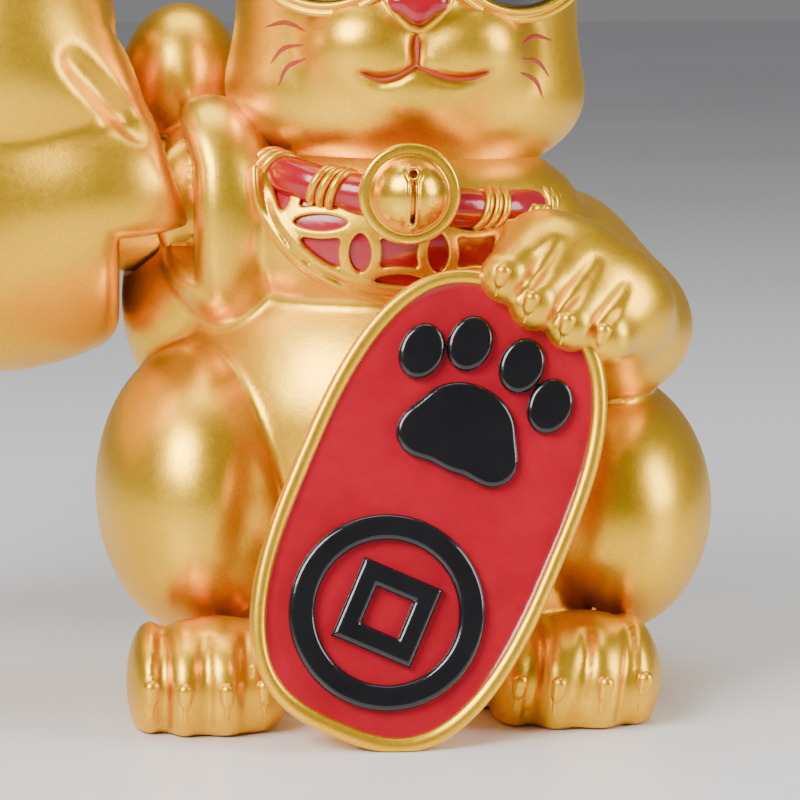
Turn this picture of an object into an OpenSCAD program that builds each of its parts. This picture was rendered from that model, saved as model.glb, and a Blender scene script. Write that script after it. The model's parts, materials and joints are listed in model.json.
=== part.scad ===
// A seated beckoning cat with a huge flexed arm that swings on an axle through its right shoulder.
// Millimetres, +Z up. The cat faces -Y and its own right hand side is -X.
// The origin is on the flat underside, midway between the haunches.

/* [Body] */
// Thickness of the moulded shells
wall = 2.2; // [2.0:0.1:2.4]
// Width across the two haunches
haunch_w = 100.6; // [100:0.2:102]
// Tilt of the head towards the held-down paw, in degrees
head_roll = 2; // [0:0.5:4]

/* [Swinging arm] */
// Height of the axle above the table
axle_z = 78; // [77.5:0.5:78.5]
// Diameter of the steel axle
axle_d = 4; // [4:0.5:5]
// Radius of the round root of the arm
root_r = 11; // [10:0.5:11]
// Gap between the root and its socket
root_gap = 0.8; // [0.6:0.1:1]

/* [Plaque] */
// Length of the oval plaque
plaque_l = 75; // [73:1:76]
// Width of the oval plaque
plaque_w = 44; // [43:1:46]
// Thickness of the plaque
plaque_t = 4; // [3:0.5:4]
// Sideways tilt of the plaque, in degrees
plaque_roll = 24; // [22:1:25]
// Backward lean of the plaque, in degrees
plaque_lean = 12; // [11:1:13]

/* [Hidden] */

GOLD = [0.83, 0.62, 0.22];
RED = [0.72, 0.05, 0.10];
BLACK = [0.05, 0.05, 0.06];
STEEL = [0.70, 0.71, 0.73];
IVORY = [0.90, 0.88, 0.82];

fit = 0.15;             // gap between two parts that are glued or screwed together
split_y = 8;            // the plane where the front and rear shells meet, through the axle
axle_y = split_y;
body_fn = 22;           // facets round the outside of a shell
inner_fn = 10;          // facets round the inside
axle_r = axle_d / 2;
root_face_x = -46.8;    // where the arm's muscles end and its round root begins
root_end_x = -38;       // the inner end of the root
socket_floor_x = -37;   // the floor of the socket in the shoulder

// ---------------------------------------------------------------- lobes
// Each lobe is an ellipsoid: [centre, radii, turn in degrees].
haunch_x = haunch_w / 2 - 17.3;
torso_lobes = [
    [[0, 8, 44], [42.5, 30, 44], [0, 0, 0]],
    [[0, -8, 42], [33, 25, 28], [0, 0, 0]],
    [[0, -7, 75], [30, 21, 17], [0, 0, 0]],
    [[haunch_x, -7, 30], [17.3, 27, 21.5], [0, 0, 0]],
    [[-haunch_x, -7, 33], [17.3, 27, 24], [0, 0, 0]]
];
// The muscular shoulder on the side of the big arm: chest, upper back, filling and flank
shoulder_lobes = [
    [[-26.5, -8, 78], [12.5, 15, 19], [0, -8, 0]],
    [[-35.8, 14, 96], [9.6, 13, 13], [0, 0, 0]],
    [[-28, 6, 80], [13, 15, 15], [0, 0, 0]],
    [[-31, 10, 62], [14.5, 17, 20], [0, 0, 0]]
];
// The small arm that holds the plaque: shoulder, forearm and wrist
small_arm_lobes = [
    [[25, 2, 67], [15, 18, 14], [0, 10, 0]],
    [[29, -13, 61], [17.3, 20, 13.5], [0, 12, 0]],
    [[25, -29, 67], [12.5, 11, 10], [0, 25, 0]]
];
head_lobes = [
    [[0, -4, 97], [29, 23, 15], [0, 0, 0]],
    [[0, -2, 110], [27.5, 23, 24], [0, 0, 0]],
    [[7, -22, 105], [9.5, 8, 8], [0, 0, 0]],
    [[-7, -22, 105], [9.5, 8, 8], [0, 0, 0]]
];
// The big arm: deltoid, biceps, triceps, elbow, forearm inside and outside, wrist and palm
arm_lobes = [
    [[-66, 7, 101], [21.5, 24, 25], [0, 0, 0]],
    [[-80, 0, 77], [42, 24, 25], [0, -4, 0]],
    [[-82, 13, 70], [40, 23, 20], [0, -4, 0]],
    [[-116, 10, 74], [24, 23, 25], [0, 0, 0]],
    [[-119, 4, 108], [20, 21, 34], [0, 6, 0]],
    [[-108, 10, 106], [17, 19, 30], [0, -4, 0]],
    [[-115, 6, 140], [15.5, 15.5, 22], [0, 0, 0]],
    [[-116, 4, 168], [21, 19, 20], [0, 0, 0]]
];

// The end of the biceps wraps in front of the shoulder, inside a sector about the axle
inner_lobe = [[-47, -6, 83], [18, 16, 17], [0, -10, 0]];
swing = 15;              // the arm swings this far each way
sector_from = 30;
sector_to = 94;
module sector(r0, r1, x1, from, to) {
    translate([0, axle_y, axle_z]) rotate([0, 90, 0]) rotate([0, 0, 180 + from])
        rotate_extrude(angle = to - from, $fn = 48)
            translate([r0, -90]) square([r1 - r0, 90 + x1]);
}
module sector_cut(grow) {
    margin = swing + 1 + 4 * grow;
    sector(14 - grow, 46 + grow, -34 + grow, sector_from - margin, sector_to + margin);
}

module lobe(l, grow, fn) {
    hull() translate(l[0]) rotate(l[2]) scale([for (r = l[1]) r + grow]) sphere(1, $fn = fn);
}
module lobes(list, grow, fn) { for (l = list) lobe(l, grow, fn); }
module capsule(a, b, ra, rb, fn = 16) {
    hull() {
        translate(a) sphere(ra, $fn = fn);
        translate(b) sphere(rb, $fn = fn);
    }
}
module x_cylinder(r, x0, x1, y = axle_y, z = axle_z, fn = 48) {
    translate([x0, y, z]) rotate([0, 90, 0]) cylinder(r = r, h = x1 - x0, $fn = fn);
}
module y_cylinder(r, y0, y1, x, z, fn = 32) {
    translate([x, y0, z]) rotate([-90, 0, 0]) cylinder(r = r, h = y1 - y0, $fn = fn);
}
module block(low, high) { translate(low) cube(high - low); }
module front_half(y) { intersection() { children(); block([-200, -200, -10], [100, y, 260]); } }
module rear_half(y) { intersection() { children(); block([-200, y, -10], [100, 200, 260]); } }

// A round tube through the given points, closed at both ends
function unit(v) = v / norm(v);
function tangent(p, i) = unit(p[min(i + 1, len(p) - 1)] - p[max(i - 1, 0)]);
function side_of(t) = unit(cross(t, abs(t[2]) < 0.9 ? [0, 0, 1] : [1, 0, 0]));
function ring(p, i, r, n) =
    let (t = tangent(p, i), u = side_of(t), v = cross(t, u))
    [for (k = [0:n - 1]) p[i] + r * (cos(360 * k / n) * u + sin(360 * k / n) * v)];
module tube(p, r, n = 8) {
    m = len(p);
    polyhedron(
        points = [for (i = [0:m - 1]) each ring(p, i, r, n)],
        faces = [
            [for (k = [0:n - 1]) k],
            [for (k = [n - 1:-1:0]) (m - 1) * n + k],
            for (i = [0:m - 2]) for (k = [0:n - 1])
                [i * n + k, (i + 1) * n + k, (i + 1) * n + (k + 1) % n, i * n + (k + 1) % n]
        ]
    );
}

// ---------------------------------------------------------------- body shells
base_h = 22;
base_c = [0, 2, 0];
plate_t = 2.4;           // thickness of the base plate
floor_z = plate_t + 0.05; // what stands on the plate starts here
module stadium(r, half_gap) {
    for (s = [-1, 1]) translate([s * half_gap, 0]) circle(r, $fn = 96);
    square([2 * half_gap, 2 * r], center = true);
}
module base_form(grow) {
    hull() for (s = [-1, 1]) translate(base_c + [9 * s, 0, 0]) {
        cylinder(r = 29.5 + grow, h = base_h + grow, $fn = 32);
        translate([0, 0, 5]) cylinder(r = 31 + grow, h = base_h - 5 + grow, $fn = 32);
    }
}
module opening(grow) { translate(base_c) linear_extrude(plate_t + grow) stadium(27 + grow, 9); }

foot_x = [-31.4, 25.4];
toe_pitch = 5.7;
module foot(x) {
    translate([x, 0, 0]) {
        lobe([[0, -34, 7.6], [12.8, 9.8, 8.2], [0, 0, 0]], 0, 20);
        for (i = [-1.5:1:1.5])
            capsule([i * toe_pitch, -31, 7.2], [i * toe_pitch, -41.5 + abs(i), 5.6], 5.6, 5, 10);
    }
}
// Fingers of the small paw, over the top edge of the plaque: [knuckle, tip] for each
fingers = [
    [[17.5, -36.5, 75.5], [13, -41, 71.5]],
    [[23.5, -36.5, 73.5], [17.5, -42, 67.5]],
    [[29.5, -36.5, 69.5], [23, -42, 63.5]],
    [[34, -34, 65], [28.5, -40, 61]]
];
module tail() {
    tail_path = [for (a = [0:15:75]) [38 * sin(a), 8 + 27 * cos(a) + 5 * sin(a), 9 + 0.2 * a]];
    tube(tail_path, 6, 8);
    translate(tail_path[len(tail_path) - 1]) sphere(6, $fn = 8);
}
module body_form(grow, fn) {
    lobes(torso_lobes, grow, fn);
    lobes(shoulder_lobes, grow, fn);
    lobes(small_arm_lobes, grow, fn);
    base_form(grow);
}
module socket(grow) {
    x_cylinder(root_r + root_gap + grow, root_face_x - 12 - grow, socket_floor_x + grow, fn = 24);
}

// Screw posts between the front and rear shells: [x, z] of each
posts = [[-20, 26], [22, 26], [26, 62]];
post_r = 3.2;
screw_r = 1.5;

module body_shell() {
    difference() {
        union() {
            difference() {
                body_form(0, body_fn);
                difference() {
                    body_form(-wall, inner_fn);
                    collar_ring(seat_r + wall, 20, 8);
                    socket(wall);
                    sector_cut(wall);
                    plaque_pegs(0.2 + wall, 12);
                }
            }
            for (p = posts) intersection() {
                body_form(-0.5, inner_fn);
                y_cylinder(post_r, -60, 60, p[0], p[1], 8);
            }
            base_bosses();
            for (x = foot_x) foot(x);
            for (f = fingers) capsule(f[0], f[1], 4.6, 4.2, 10);
            tail();
        }
        socket(0);
        sector_cut(0);
        x_cylinder(4.2, -50, 5, fn = 24);
        x_cylinder(6, 4, 16.4, fn = 24);
        opening(fit);
        head_seat();
        collar_ring(seat_r, 32, 12);
        plaque_form(0.25, 36);
        plaque_pegs(0.2, 16);
        bell_clearance(20);
        block([-60, -80, -30], [60, 60, 0]);
        for (p = posts) y_cylinder(screw_r + 0.1, split_y - 9, 60, p[0], p[1], 16);
        for (p = posts) y_cylinder(2.9, split_y + 8, 60, p[0], p[1], 16);
        for (p = base_screw_at) translate([p[0], p[1], 0]) cylinder(r = screw_r + 0.1, h = 9, $fn = 16);
        mechanism_space();
    }
}
// Bosses that the base plate screws into, each joined to the wall by a web
base_screw_at = [[-28.5, -12], [28.5, -12], [-12, 25.5], [12, 25.5]];
module base_bosses() {
    for (p = base_screw_at) hull() {
        translate([p[0], p[1], plate_t + fit]) cylinder(r = 2.9, h = 8, $fn = 16);
        translate([1.13 * p[0], 1.13 * p[1], plate_t + fit]) cylinder(r = 2, h = 8, $fn = 8);
    }
}
module mechanism_space() {
    block([-28.3, 5.4, 2], [28.3, 22.6, 19.5]);
}
module body_front_shell() { color(GOLD) front_half(split_y) body_shell(); }
module body_rear_shell() { color(GOLD) rear_half(split_y + 0.02) body_shell(); }
module body_screws() {
    color(STEEL) for (p = posts) {
        y_cylinder(screw_r, split_y - 8, split_y + 8, p[0], p[1]);
        y_cylinder(2.7, split_y + 8, split_y + 9.6, p[0], p[1]);
    }
}

// ---------------------------------------------------------------- head
neck = [0, -3, 84];
module turned_head() {
    translate(neck) rotate([0, head_roll, 0]) translate(-neck) children();
}
ear_base = [16.5, 0, 122];
ear_tip = [22, 1, 146];
module ear(side, grow) {
    mirror([side < 0 ? 1 : 0, 0, 0]) hull() {
        translate(ear_base) rotate([0, 16, 0]) scale([11.5 + grow, 7 + grow, 8 + grow]) sphere(1, $fn = 16);
        translate(ear_tip) sphere(3 + grow, $fn = 10);
    }
}
module ear_hollow(side) {
    mirror([side < 0 ? 1 : 0, 0, 0]) hull() {
        translate(ear_base + [0.8, -7.4, 3]) rotate([0, 16, 0]) scale([7.6, 3.5, 4.5]) sphere(1, $fn = 12);
        translate(ear_tip + [-0.6, -4.2, -3.5]) sphere(2.4, $fn = 8);
    }
}
module head_form(grow, fn) {
    lobes(head_lobes, grow, fn);
    for (s = [-1, 1]) ear(s, grow);
}
module head_seat() { turned_head() lobes([head_lobes[0], head_lobes[1]], 0.4, 24); }
nose_at = [0, -30.3, 110.5];
module nose_form(grow) {
    hull() {
        for (s = [-1, 1]) translate(nose_at + [s * 2.9, 0.4, 1.4]) sphere(1.5 + grow, $fn = 12);
        translate(nose_at + [0, -0.4, -2.2]) sphere(1.2 + grow, $fn = 12);
    }
}
head_split_y = 0;
module head_shell() {
    difference() {
        head_form(0, 24);
        lobes([head_lobes[0], head_lobes[1]], -wall, 12);
        for (s = [-1, 1]) ear_hollow(s);
        nose_form(0.08);
        lens_bodies(0.1);
        frame_bodies(0.1);
    }
}
module head_cut() {
    difference() {
        turned_head() children();
        collar_ring(seat_r, 32, 12);
        bell_clearance(20);
    }
}
module head_front_shell() { color(GOLD) head_cut() front_half(head_split_y) head_shell(); }
module head_rear_shell() { color(GOLD) head_cut() rear_half(head_split_y + 0.02) head_shell(); }
module ear_linings() {
    color(RED) turned_head() for (s = [-1, 1]) intersection() {
        translate([0, -0.05, 0]) ear_hollow(s);
        ear(s, -1.3);
    }
}
module nose() { color(RED) turned_head() nose_form(0); }

lens_x = 14.6;
lens_z = 120.8;
lens_rx = 11.6;
lens_rz = 9.8;
lens_y = -26.6;
lens_turn = 20;          // the lenses wrap round the face by this angle
module lens_place() {
    for (s = [-1, 1]) translate([s * lens_x, lens_y + 4.4, lens_z]) rotate([90, 0, s * lens_turn]) children();
}
module lens_outline(grow) { scale([lens_rx + grow, lens_rz + grow]) circle(1, $fn = 40); }
module lens_bodies(grow) {
    lens_place() translate([0, 0, -1 - grow]) linear_extrude(3.4 + 2 * grow) lens_outline(grow);
}
module frame_bodies(grow) {
    lens_place() translate([0, 0, -1.6 - grow]) linear_extrude(4.6 + 2 * grow) lens_outline(1.7 + grow);
    hull() for (s = [-1, 1]) translate([s * 3, lens_y - 1.9, lens_z + 2.4]) sphere(1.1 + grow, $fn = 12);
}
module sunglasses_frame() {
    color(GOLD) turned_head() difference() {
        frame_bodies(0);
        lens_place() translate([0, 0, -3]) linear_extrude(9) lens_outline(0.05);
    }
}
module sunglasses_lenses() { color(BLACK) turned_head() lens_bodies(0); }

// ---------------------------------------------------------------- collar, bell and bib
collar_at = [0, -4, 83.5];
collar_ring_r = 24.5;
collar_r = 3;
seat_r = collar_r + 1;  // the groove that the cord and its bands lie in
module collar_place() { translate(collar_at) rotate([6, 8, 0]) children(); }
module collar_ring(r, fn = 48, tube_fn = 20) {
    collar_place() rotate_extrude($fn = fn) translate([collar_ring_r, 0]) circle(r, $fn = tube_fn);
}
module collar_arc(r_out, r_in, at, span) {
    collar_place() rotate([0, 0, at - span / 2]) rotate_extrude(angle = span, $fn = 48)
        translate([collar_ring_r, 0]) difference() { circle(r_out, $fn = 32); circle(r_in, $fn = 32); }
}
band_at = [for (i = [0:10]) 300 + i * 30]; // none behind the bell
band_span = 5;
module collar_cord() { color(RED) collar_ring(collar_r); }
module collar_bands() {
    color(GOLD) for (a = band_at) collar_arc(collar_r + 0.7, collar_r + 0.02, a, band_span);
}

bell_r = 6.2;
bell_rim_r = 7.6;
bell_at = [-1.4, -32, 82.8];
module bell_place() { translate(bell_at) rotate([90, 0, 0]) children(); }
module bell() {
    color(GOLD) bell_place() difference() {
        union() {
            cylinder(r = bell_rim_r, h = 1.8, $fn = 64);
            translate([0, 0, 1.2]) sphere(bell_r, $fn = 64);
        }
        translate([0, 0, -10]) cylinder(r = 20, h = 10, $fn = 32);
        translate([-0.4, -5, 5.2]) cube([0.8, 9, 6]);
        translate([0, 4, 2.5]) cylinder(r = 0.9, h = 9, $fn = 24);
    }
}
module bell_clearance(fn = 40) {
    bell_place() translate([0, 0, -0.05]) cylinder(r = bell_rim_r + 0.25, h = 20, $fn = fn);
}

bib_at = [0, 83];        // the middle of the circle that the bib's lower edge follows, in X and Z
bib_r = 22;
bib_t = 0.9;
module bib_outline(r) {
    intersection() {
        translate(bib_at) scale([1, 0.84]) circle(r, $fn = 32);
        translate([-30, 50]) square([47.8, 32]);
    }
}
module through_chest() { translate([0, -10, 0]) rotate([90, 0, 0]) linear_extrude(40) children(); }
module chest_skin(from, to) {
    difference() { lobe(torso_lobes[2], to, body_fn); lobe(torso_lobes[2], from, body_fn); }
}
module bib_trim() {
    turned_head() lobe(head_lobes[0], 0.2, 16);
    collar_ring(collar_r + 1.2, 24, 10);
    bell_clearance(16);
    plaque_form(0.1, 24);
    lobes([torso_lobes[0], torso_lobes[1]], 0.05, body_fn);
    lobes(shoulder_lobes, 0.05, body_fn);
    lobes(small_arm_lobes, 0.05, body_fn);
    for (f = fingers) capsule(f[0], f[1], 4.65, 4.25, 10);
}
module bib() {
    color(RED) difference() {
        intersection() { chest_skin(0.05, bib_t); through_chest() bib_outline(bib_r); }
        bib_trim();
    }
}
lattice_pitch = 12;
module lattice_outline() {
    difference() { bib_outline(bib_r + 0.9); bib_outline(bib_r - 0.9); }
    intersection() {
        bib_outline(bib_r);
        for (i = [-2:2]) for (j = [0:2]) translate(bib_at + [i * lattice_pitch, -j * lattice_pitch / 2 - 3])
            translate([j % 2 * lattice_pitch / 2, 0]) difference() {
                circle(6.4, $fn = 14);
                circle(5.5, $fn = 14);
            }
    }
}
module bib_lattice() {
    color(GOLD) difference() {
        intersection() { chest_skin(bib_t + 0.02, bib_t + 0.8); through_chest() lattice_outline(); }
        bib_trim();
    }
}

// ---------------------------------------------------------------- plaque
plaque_at = [0.5, -46, 35.4];
rim_w = 2;
field_depth = 0.9;
peg_r = 2.4;
peg_l = 12;
peg_at = [[-6, 8], [8, -6]];
module plaque_place() {
    translate(plaque_at) rotate([-plaque_lean, 0, 0]) rotate([0, plaque_roll, 0]) rotate([90, 0, 0])
        children();
}
// The oval outline is a superellipse, much squarer than an ellipse
function oval(a, b, n = 72, p = 2.8) = [
    for (i = [0:n - 1]) let (t = 360 * i / n, c = cos(t), s = sin(t))
        [a * sign(c) * pow(abs(c), 2 / p), b * sign(s) * pow(abs(s), 2 / p)]
];
module plaque_outline(grow, n = 72) { polygon(oval(plaque_w / 2 + grow, plaque_l / 2 + grow, n)); }
module plaque_form(grow, n = 72) {
    plaque_place() translate([0, 0, -plaque_t / 2 - grow]) linear_extrude(plaque_t + 2 * grow)
        plaque_outline(grow, n);
}
module plaque_pegs(grow, fn = 32) {
    plaque_place() for (p = peg_at) translate([p[0], p[1], -plaque_t / 2 - peg_l])
        cylinder(r = peg_r + grow, h = peg_l + 0.1, $fn = fn);
}
module plaque() {
    color(GOLD) difference() {
        union() { plaque_form(0); plaque_pegs(0); }
        plaque_place() translate([0, 0, plaque_t / 2 - field_depth]) linear_extrude(5) plaque_outline(-rim_w);
        block([-60, -90, -20], [60, 0, 0]);
    }
}
field_t = 0.4;
module plaque_field() {
    color(RED) plaque_place() translate([0, 0, plaque_t / 2 - field_depth + 0.01])
        linear_extrude(field_t) plaque_outline(-rim_w - 0.05);
}
module paw_print() {
    scale([1.15, 1]) circle(7, $fn = 40);
    for (a = [-1, 1]) translate([a * 5.8, -3]) circle(4, $fn = 32);
    for (a = [-50, -18, 18, 50]) translate([14 * sin(a), 13 * cos(a)]) scale([0.78, 1]) circle(4.4, $fn = 32);
}
module square_hole_coin() {
    difference() { circle(15, $fn = 64); circle(11, $fn = 64); }
    difference() { square(13, center = true); square(6, center = true); }
}
module plaque_emblems() {
    color(BLACK) plaque_place() translate([0, 0, plaque_t / 2 - field_depth + field_t + 0.02])
        linear_extrude(1.1) { translate([0, 13.5]) paw_print(); translate([0, -17]) square_hole_coin(); }
}

// ---------------------------------------------------------------- base
door_low = [-25.6, 6.4];
door_high = [25.6, 21.6];
module base_plate() {
    color(BLACK) difference() {
        opening(0);
        block([door_low[0], door_low[1], -1], [door_high[0], door_high[1], 5]);
        for (p = base_screw_at) translate([p[0], p[1], -1]) {
            cylinder(r = 1.7, h = 5, $fn = 32);
            cylinder(r = 3.1, h = 2.2, $fn = 32);
        }
        for (p = frame_screw_at) translate([p[0], p[1], -1]) {
            cylinder(r = 1.7, h = 5, $fn = 32);
            cylinder(r = 3.1, h = 2.2, $fn = 32);
        }
        block([slider_at[0] - 4, slider_at[1] - 1.6, -1], [slider_at[0] + 4, slider_at[1] + 1.6, 5]);
        for (p = pad_at) translate([p[0], p[1], -1]) cylinder(r = 4.1, h = 2, $fn = 40);
    }
}
module base_screws() {
    color(STEEL) for (p = base_screw_at) translate([p[0], p[1], 0.3]) {
        cylinder(r = 2.9, h = 0.9, $fn = 32);
        cylinder(r = screw_r, h = 8, $fn = 32);
    }
}
pad_at = [[-19, -17], [19, -17], [-31.5, 2], [31.5, 2]];
module foot_pads() {
    color(BLACK) for (p = pad_at) translate([p[0], p[1], 0]) cylinder(r = 4, h = 1, $fn = 40);
}
module ballast_plate() {
    color(STEEL) difference() {
        block([-24, -19, floor_z], [24, -4, 9]);
        block([-8, -14, 0], [8, -3, 12]);
        for (p = board_post_at) translate([p[0], p[1], 0]) cylinder(r = 2.4, h = 20, $fn = 24);
    }
}
module battery_door() {
    gap = 0.25;
    color(BLACK) block(
        [door_low[0] + gap, door_low[1] + gap, 0.2],
        [door_high[0] - gap, door_high[1] - gap, 2.2]
    );
}

// ---------------------------------------------------------------- battery and switch
cell_r = 7.2;
cell_y = 14;
cell_z = 10.6;
cell_x0 = -25.4;
cell_l = 49.3;
box_low = [-28, 5.7, floor_z];
box_high = [28, 22.3, 19.2];
module battery_box() {
    color(BLACK) difference() {
        block(box_low, box_high);
        block(box_low + [1, 1, -1], box_high - [1, 1, 1]);
        for (x = [-26.2, 26.2]) block([x - 0.8, box_low[1] - 1, 15.4], [x + 0.8, box_low[1] + 2, 17.6]);
    }
}
module battery_cell() {
    color([0.1, 0.25, 0.16]) {
        x_cylinder(cell_r, cell_x0, cell_x0 + cell_l, cell_y, cell_z);
        x_cylinder(2.7, cell_x0 - 1.2, cell_x0 + 0.1, cell_y, cell_z);
    }
}
module battery_contact() {
    color(STEEL) block([-26.98, cell_y - 4, 5], [-26.68, cell_y + 4, 15.5]);
}
module battery_spring() {
    turns = 3;
    steps = 12 * turns;
    color(STEEL) {
        block([26.68, cell_y - 4, 5], [26.98, cell_y + 4, 15.5]);
        tube([for (i = [0:steps]) let (a = 30 * i, r = 2.2 + 2.2 * i / steps)
            [24.4 + 2.1 * i / steps, cell_y + r * cos(a), cell_z + r * sin(a)]], 0.4, 8);
    }
}
slider_at = [0, -8.5];
slider_travel = 2.5;
module switch_body() {
    color(STEEL) difference() {
        block([-7, -12.5, floor_z], [7, -4.5, 6.5]);
        block([slider_at[0] - 3.8, slider_at[1] - 1.5, 0], [slider_at[0] + 3.8, slider_at[1] + 1.5, 4.5]);
    }
}
module switch_slider() {
    color(BLACK) translate([slider_at[0], slider_at[1], 0])
        block([-3.4, -1.3, 0.5], [3.4 - slider_travel, 1.3, 4.2]);
}

// ---------------------------------------------------------------- mechanism
frame_screw_at = [[14, -1], [-20, -1]];
upright_x = [9, 12];
shelf_z = 20.4;
shelf_t = 1.8;
module mechanism_frame() {
    color(IVORY) difference() {
        union() {
            block([upright_x[0], -2, floor_z], [upright_x[1], 5.3, shelf_z]);
            block([upright_x[0], 2.5, shelf_z], [upright_x[1], 13.5, axle_z]);
            x_cylinder(5.5, upright_x[0], upright_x[1]);
            block([-23, -2, shelf_z], [upright_x[1], 17, shelf_z + shelf_t]);
            block([-23, -2, floor_z], [-20, 5.3, shelf_z + shelf_t]);
            block([upright_x[0], -3.6, floor_z], [18, 2, 5]);
            block([-24, -3.6, floor_z], [-16, 2, 5]);
        }
        x_cylinder(3.5, 0, 20);
        for (p = frame_screw_at) translate([p[0], p[1], 0]) cylinder(r = 1.25, h = 8, $fn = 32);
        translate([coil_at[0], coil_at[1], 0]) cylinder(r = 2.6, h = 60, $fn = 32);
    }
}
module frame_screws() {
    color(STEEL) for (p = frame_screw_at) translate([p[0], p[1], 0.3]) {
        cylinder(r = 2.9, h = 0.9, $fn = 32);
        cylinder(r = 1.24, h = 4.6, $fn = 32);
    }
}
module bush(x0, x1, flange_x0, flange_x1, r) {
    difference() {
        union() { x_cylinder(r, x0, x1); x_cylinder(r + 2, flange_x0, flange_x1); }
        x_cylinder(axle_r + 0.05, x0 - 5, x1 + 5);
    }
}
module outer_bush() { color([0.80, 0.62, 0.30]) bush(-37, -31.5, -34.6, -31.5, 4); }
module inner_bush() { color([0.80, 0.62, 0.30]) bush(7.4, 12, 7.4, 8.9, 3.45); }
coil_at = [-6, 8];
coil_z = shelf_z + shelf_t;
module coil_bobbin() {
    color(IVORY) difference() {
        translate([coil_at[0], coil_at[1], coil_z + 0.02]) {
            cylinder(r = 10, h = 1, $fn = 64);
            translate([0, 0, 6.6]) cylinder(r = 10, h = 1, $fn = 64);
            cylinder(r = 4, h = 7.6, $fn = 64);
            translate([0, 0, -1.6]) cylinder(r = 2.5, h = 2, $fn = 32);
        }
        translate([coil_at[0], coil_at[1], 0]) cylinder(r = 1.5, h = 60, $fn = 32);
    }
}
module drive_coil() {
    color([0.72, 0.38, 0.16]) translate([coil_at[0], coil_at[1], coil_z + 1.07]) difference() {
        cylinder(r = 9.2, h = 5.5, $fn = 64);
        translate([0, 0, -1]) cylinder(r = 4.05, h = 8, $fn = 64);
    }
}
board_low = [-20, -24, 12];
board_high = [20, -7, 13.4];
board_post_at = [[-16, -20], [16, -20], [-16, -10], [16, -10]];
module board_posts() {
    color(IVORY) for (p = board_post_at) translate([p[0], p[1], floor_z]) {
        cylinder(r = 2.2, h = 9.5, $fn = 32);
        cylinder(r = 1, h = 12, $fn = 24);
    }
}
module circuit_board() {
    color([0.07, 0.32, 0.16]) difference() {
        block(board_low, board_high);
        for (p = board_post_at) translate([p[0], p[1], 0]) cylinder(r = 1.1, h = 30, $fn = 24);
    }
}
module board_components() {
    color(BLACK) translate([0, 0, board_high[2] + 0.02]) {
        translate([-8, -18, 0]) cylinder(r = 3.2, h = 5.4, $fn = 40);
        block([0, -20, 0], [6, -16, 2]);
        block([-2, -12.5, 0], [2.5, -9.5, 3.6]);
        block([8, -14, 0], [12, -11, 1.4]);
    }
}
lead_r = 0.6;
module positive_lead() {
    color(RED) tube([[-26.3, 12, 16.15], [-26.3, 9, 16.4], [-26.2, 6.2, 16.5], [-26, 2, 16.2],
        [-25, -4, 15.4], [-22, -9, 15.2], [-18.6, -14, 14.8], [-17.6, -15.4, 14.1]], lead_r);
}
module negative_lead() {
    color(BLACK) tube([[26.3, 12, 16.15], [26.3, 9, 16.4], [26.2, 6.2, 16.5], [26, 2, 16.2],
        [25, -4, 15.4], [22, -9, 15.2], [18.6, -14, 14.8], [17.6, -15.4, 14.1]], lead_r);
}
module coil_leads() {
    color([0.72, 0.38, 0.16]) for (s = [-1, 1])
        tube([[-6 + 3 * s, -1.6, 25], [-6 + 3 * s, -3.6, 23.5], [-6 + 4 * s, -5, 19],
            [-6 + 5 * s, -7.5, 15.5], [-6 + 5 * s, -8.2, 13.8]], 0.3);
}

// ---------------------------------------------------------------- swinging arm
arm_fingers = [for (i = [0:3]) [
    [-131 + 10 * i, -9, 178 + 3 * sin(60 * i)],
    [-130 + 9.3 * i, -19, 166 + 3 * sin(60 * i)]
]];
module arm_form(grow, fn) {
    intersection() {
        lobes(arm_lobes, grow, fn);
        block([-250, -60, 0], [root_face_x - (grow < 0 ? -grow : 0), 80, 300]);
    }
    x_cylinder(root_r + grow, root_face_x - 8, root_end_x + (grow < 0 ? grow : 0), fn = grow < 0 ? 16 : 32);
}
arm_posts = [[-74, 84], [-112, 120]];
module arm_shell() {
    difference() {
        union() {
            difference() { arm_form(0, 22); arm_form(-wall, 12); }
            for (p = arm_posts) intersection() {
                arm_form(-0.5, 12);
                y_cylinder(post_r, -60, 60, p[0], p[1], 8);
            }
            intersection() {
                lobe(inner_lobe, 0, 24);
                sector(14.6, 45, -34.6, sector_from, sector_to);
            }
            for (f = arm_fingers) difference() {
                capsule(f[0], f[1], 6.4, 5.6, 12);
                lobes([arm_lobes[7]], -0.5 - wall, 12);
            }
        }
        x_cylinder(axle_r + 0.4, -60, 0, fn = 24);
        x_cylinder(8.7, -58, -40, fn = 24);
        for (p = arm_posts) y_cylinder(screw_r + 0.1, split_y - 9, 60, p[0], p[1], 16);
        for (p = arm_posts) y_cylinder(2.9, split_y + 8, 60, p[0], p[1], 16);
    }
}
module arm_front_shell() { color(GOLD) front_half(split_y) arm_shell(); }
module arm_rear_shell() { color(GOLD) rear_half(split_y + 0.02) arm_shell(); }
module arm_screws() {
    color(STEEL) for (p = arm_posts) {
        y_cylinder(screw_r, split_y - 8, split_y + 8, p[0], p[1]);
        y_cylinder(2.7, split_y + 8, split_y + 9.6, p[0], p[1]);
    }
}
module arm_hub() {
    color(IVORY) difference() {
        x_cylinder(8.5, -56, -40.4);
        x_cylinder(axle_r + 0.02, -58, -30);
    }
}
module arm_axle() {
    color(STEEL) difference() {
        x_cylinder(axle_r, -55, 15);
        translate([0, 0, 0]) difference() { x_cylinder(3, 13.2, 14); x_cylinder(1.5, 13, 14.2); }
    }
}
module axle_clip() {
    color(STEEL) difference() {
        x_cylinder(3.6, 13.25, 13.95);
        x_cylinder(1.52, 13, 14.2);
        block([12, axle_y - 1, axle_z], [16, axle_y + 1, axle_z + 6]);
    }
}
lever_x = [-9, -3];
weight_low = [-19, -2, 34.5];
weight_high = [8, 18, 57];
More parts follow.
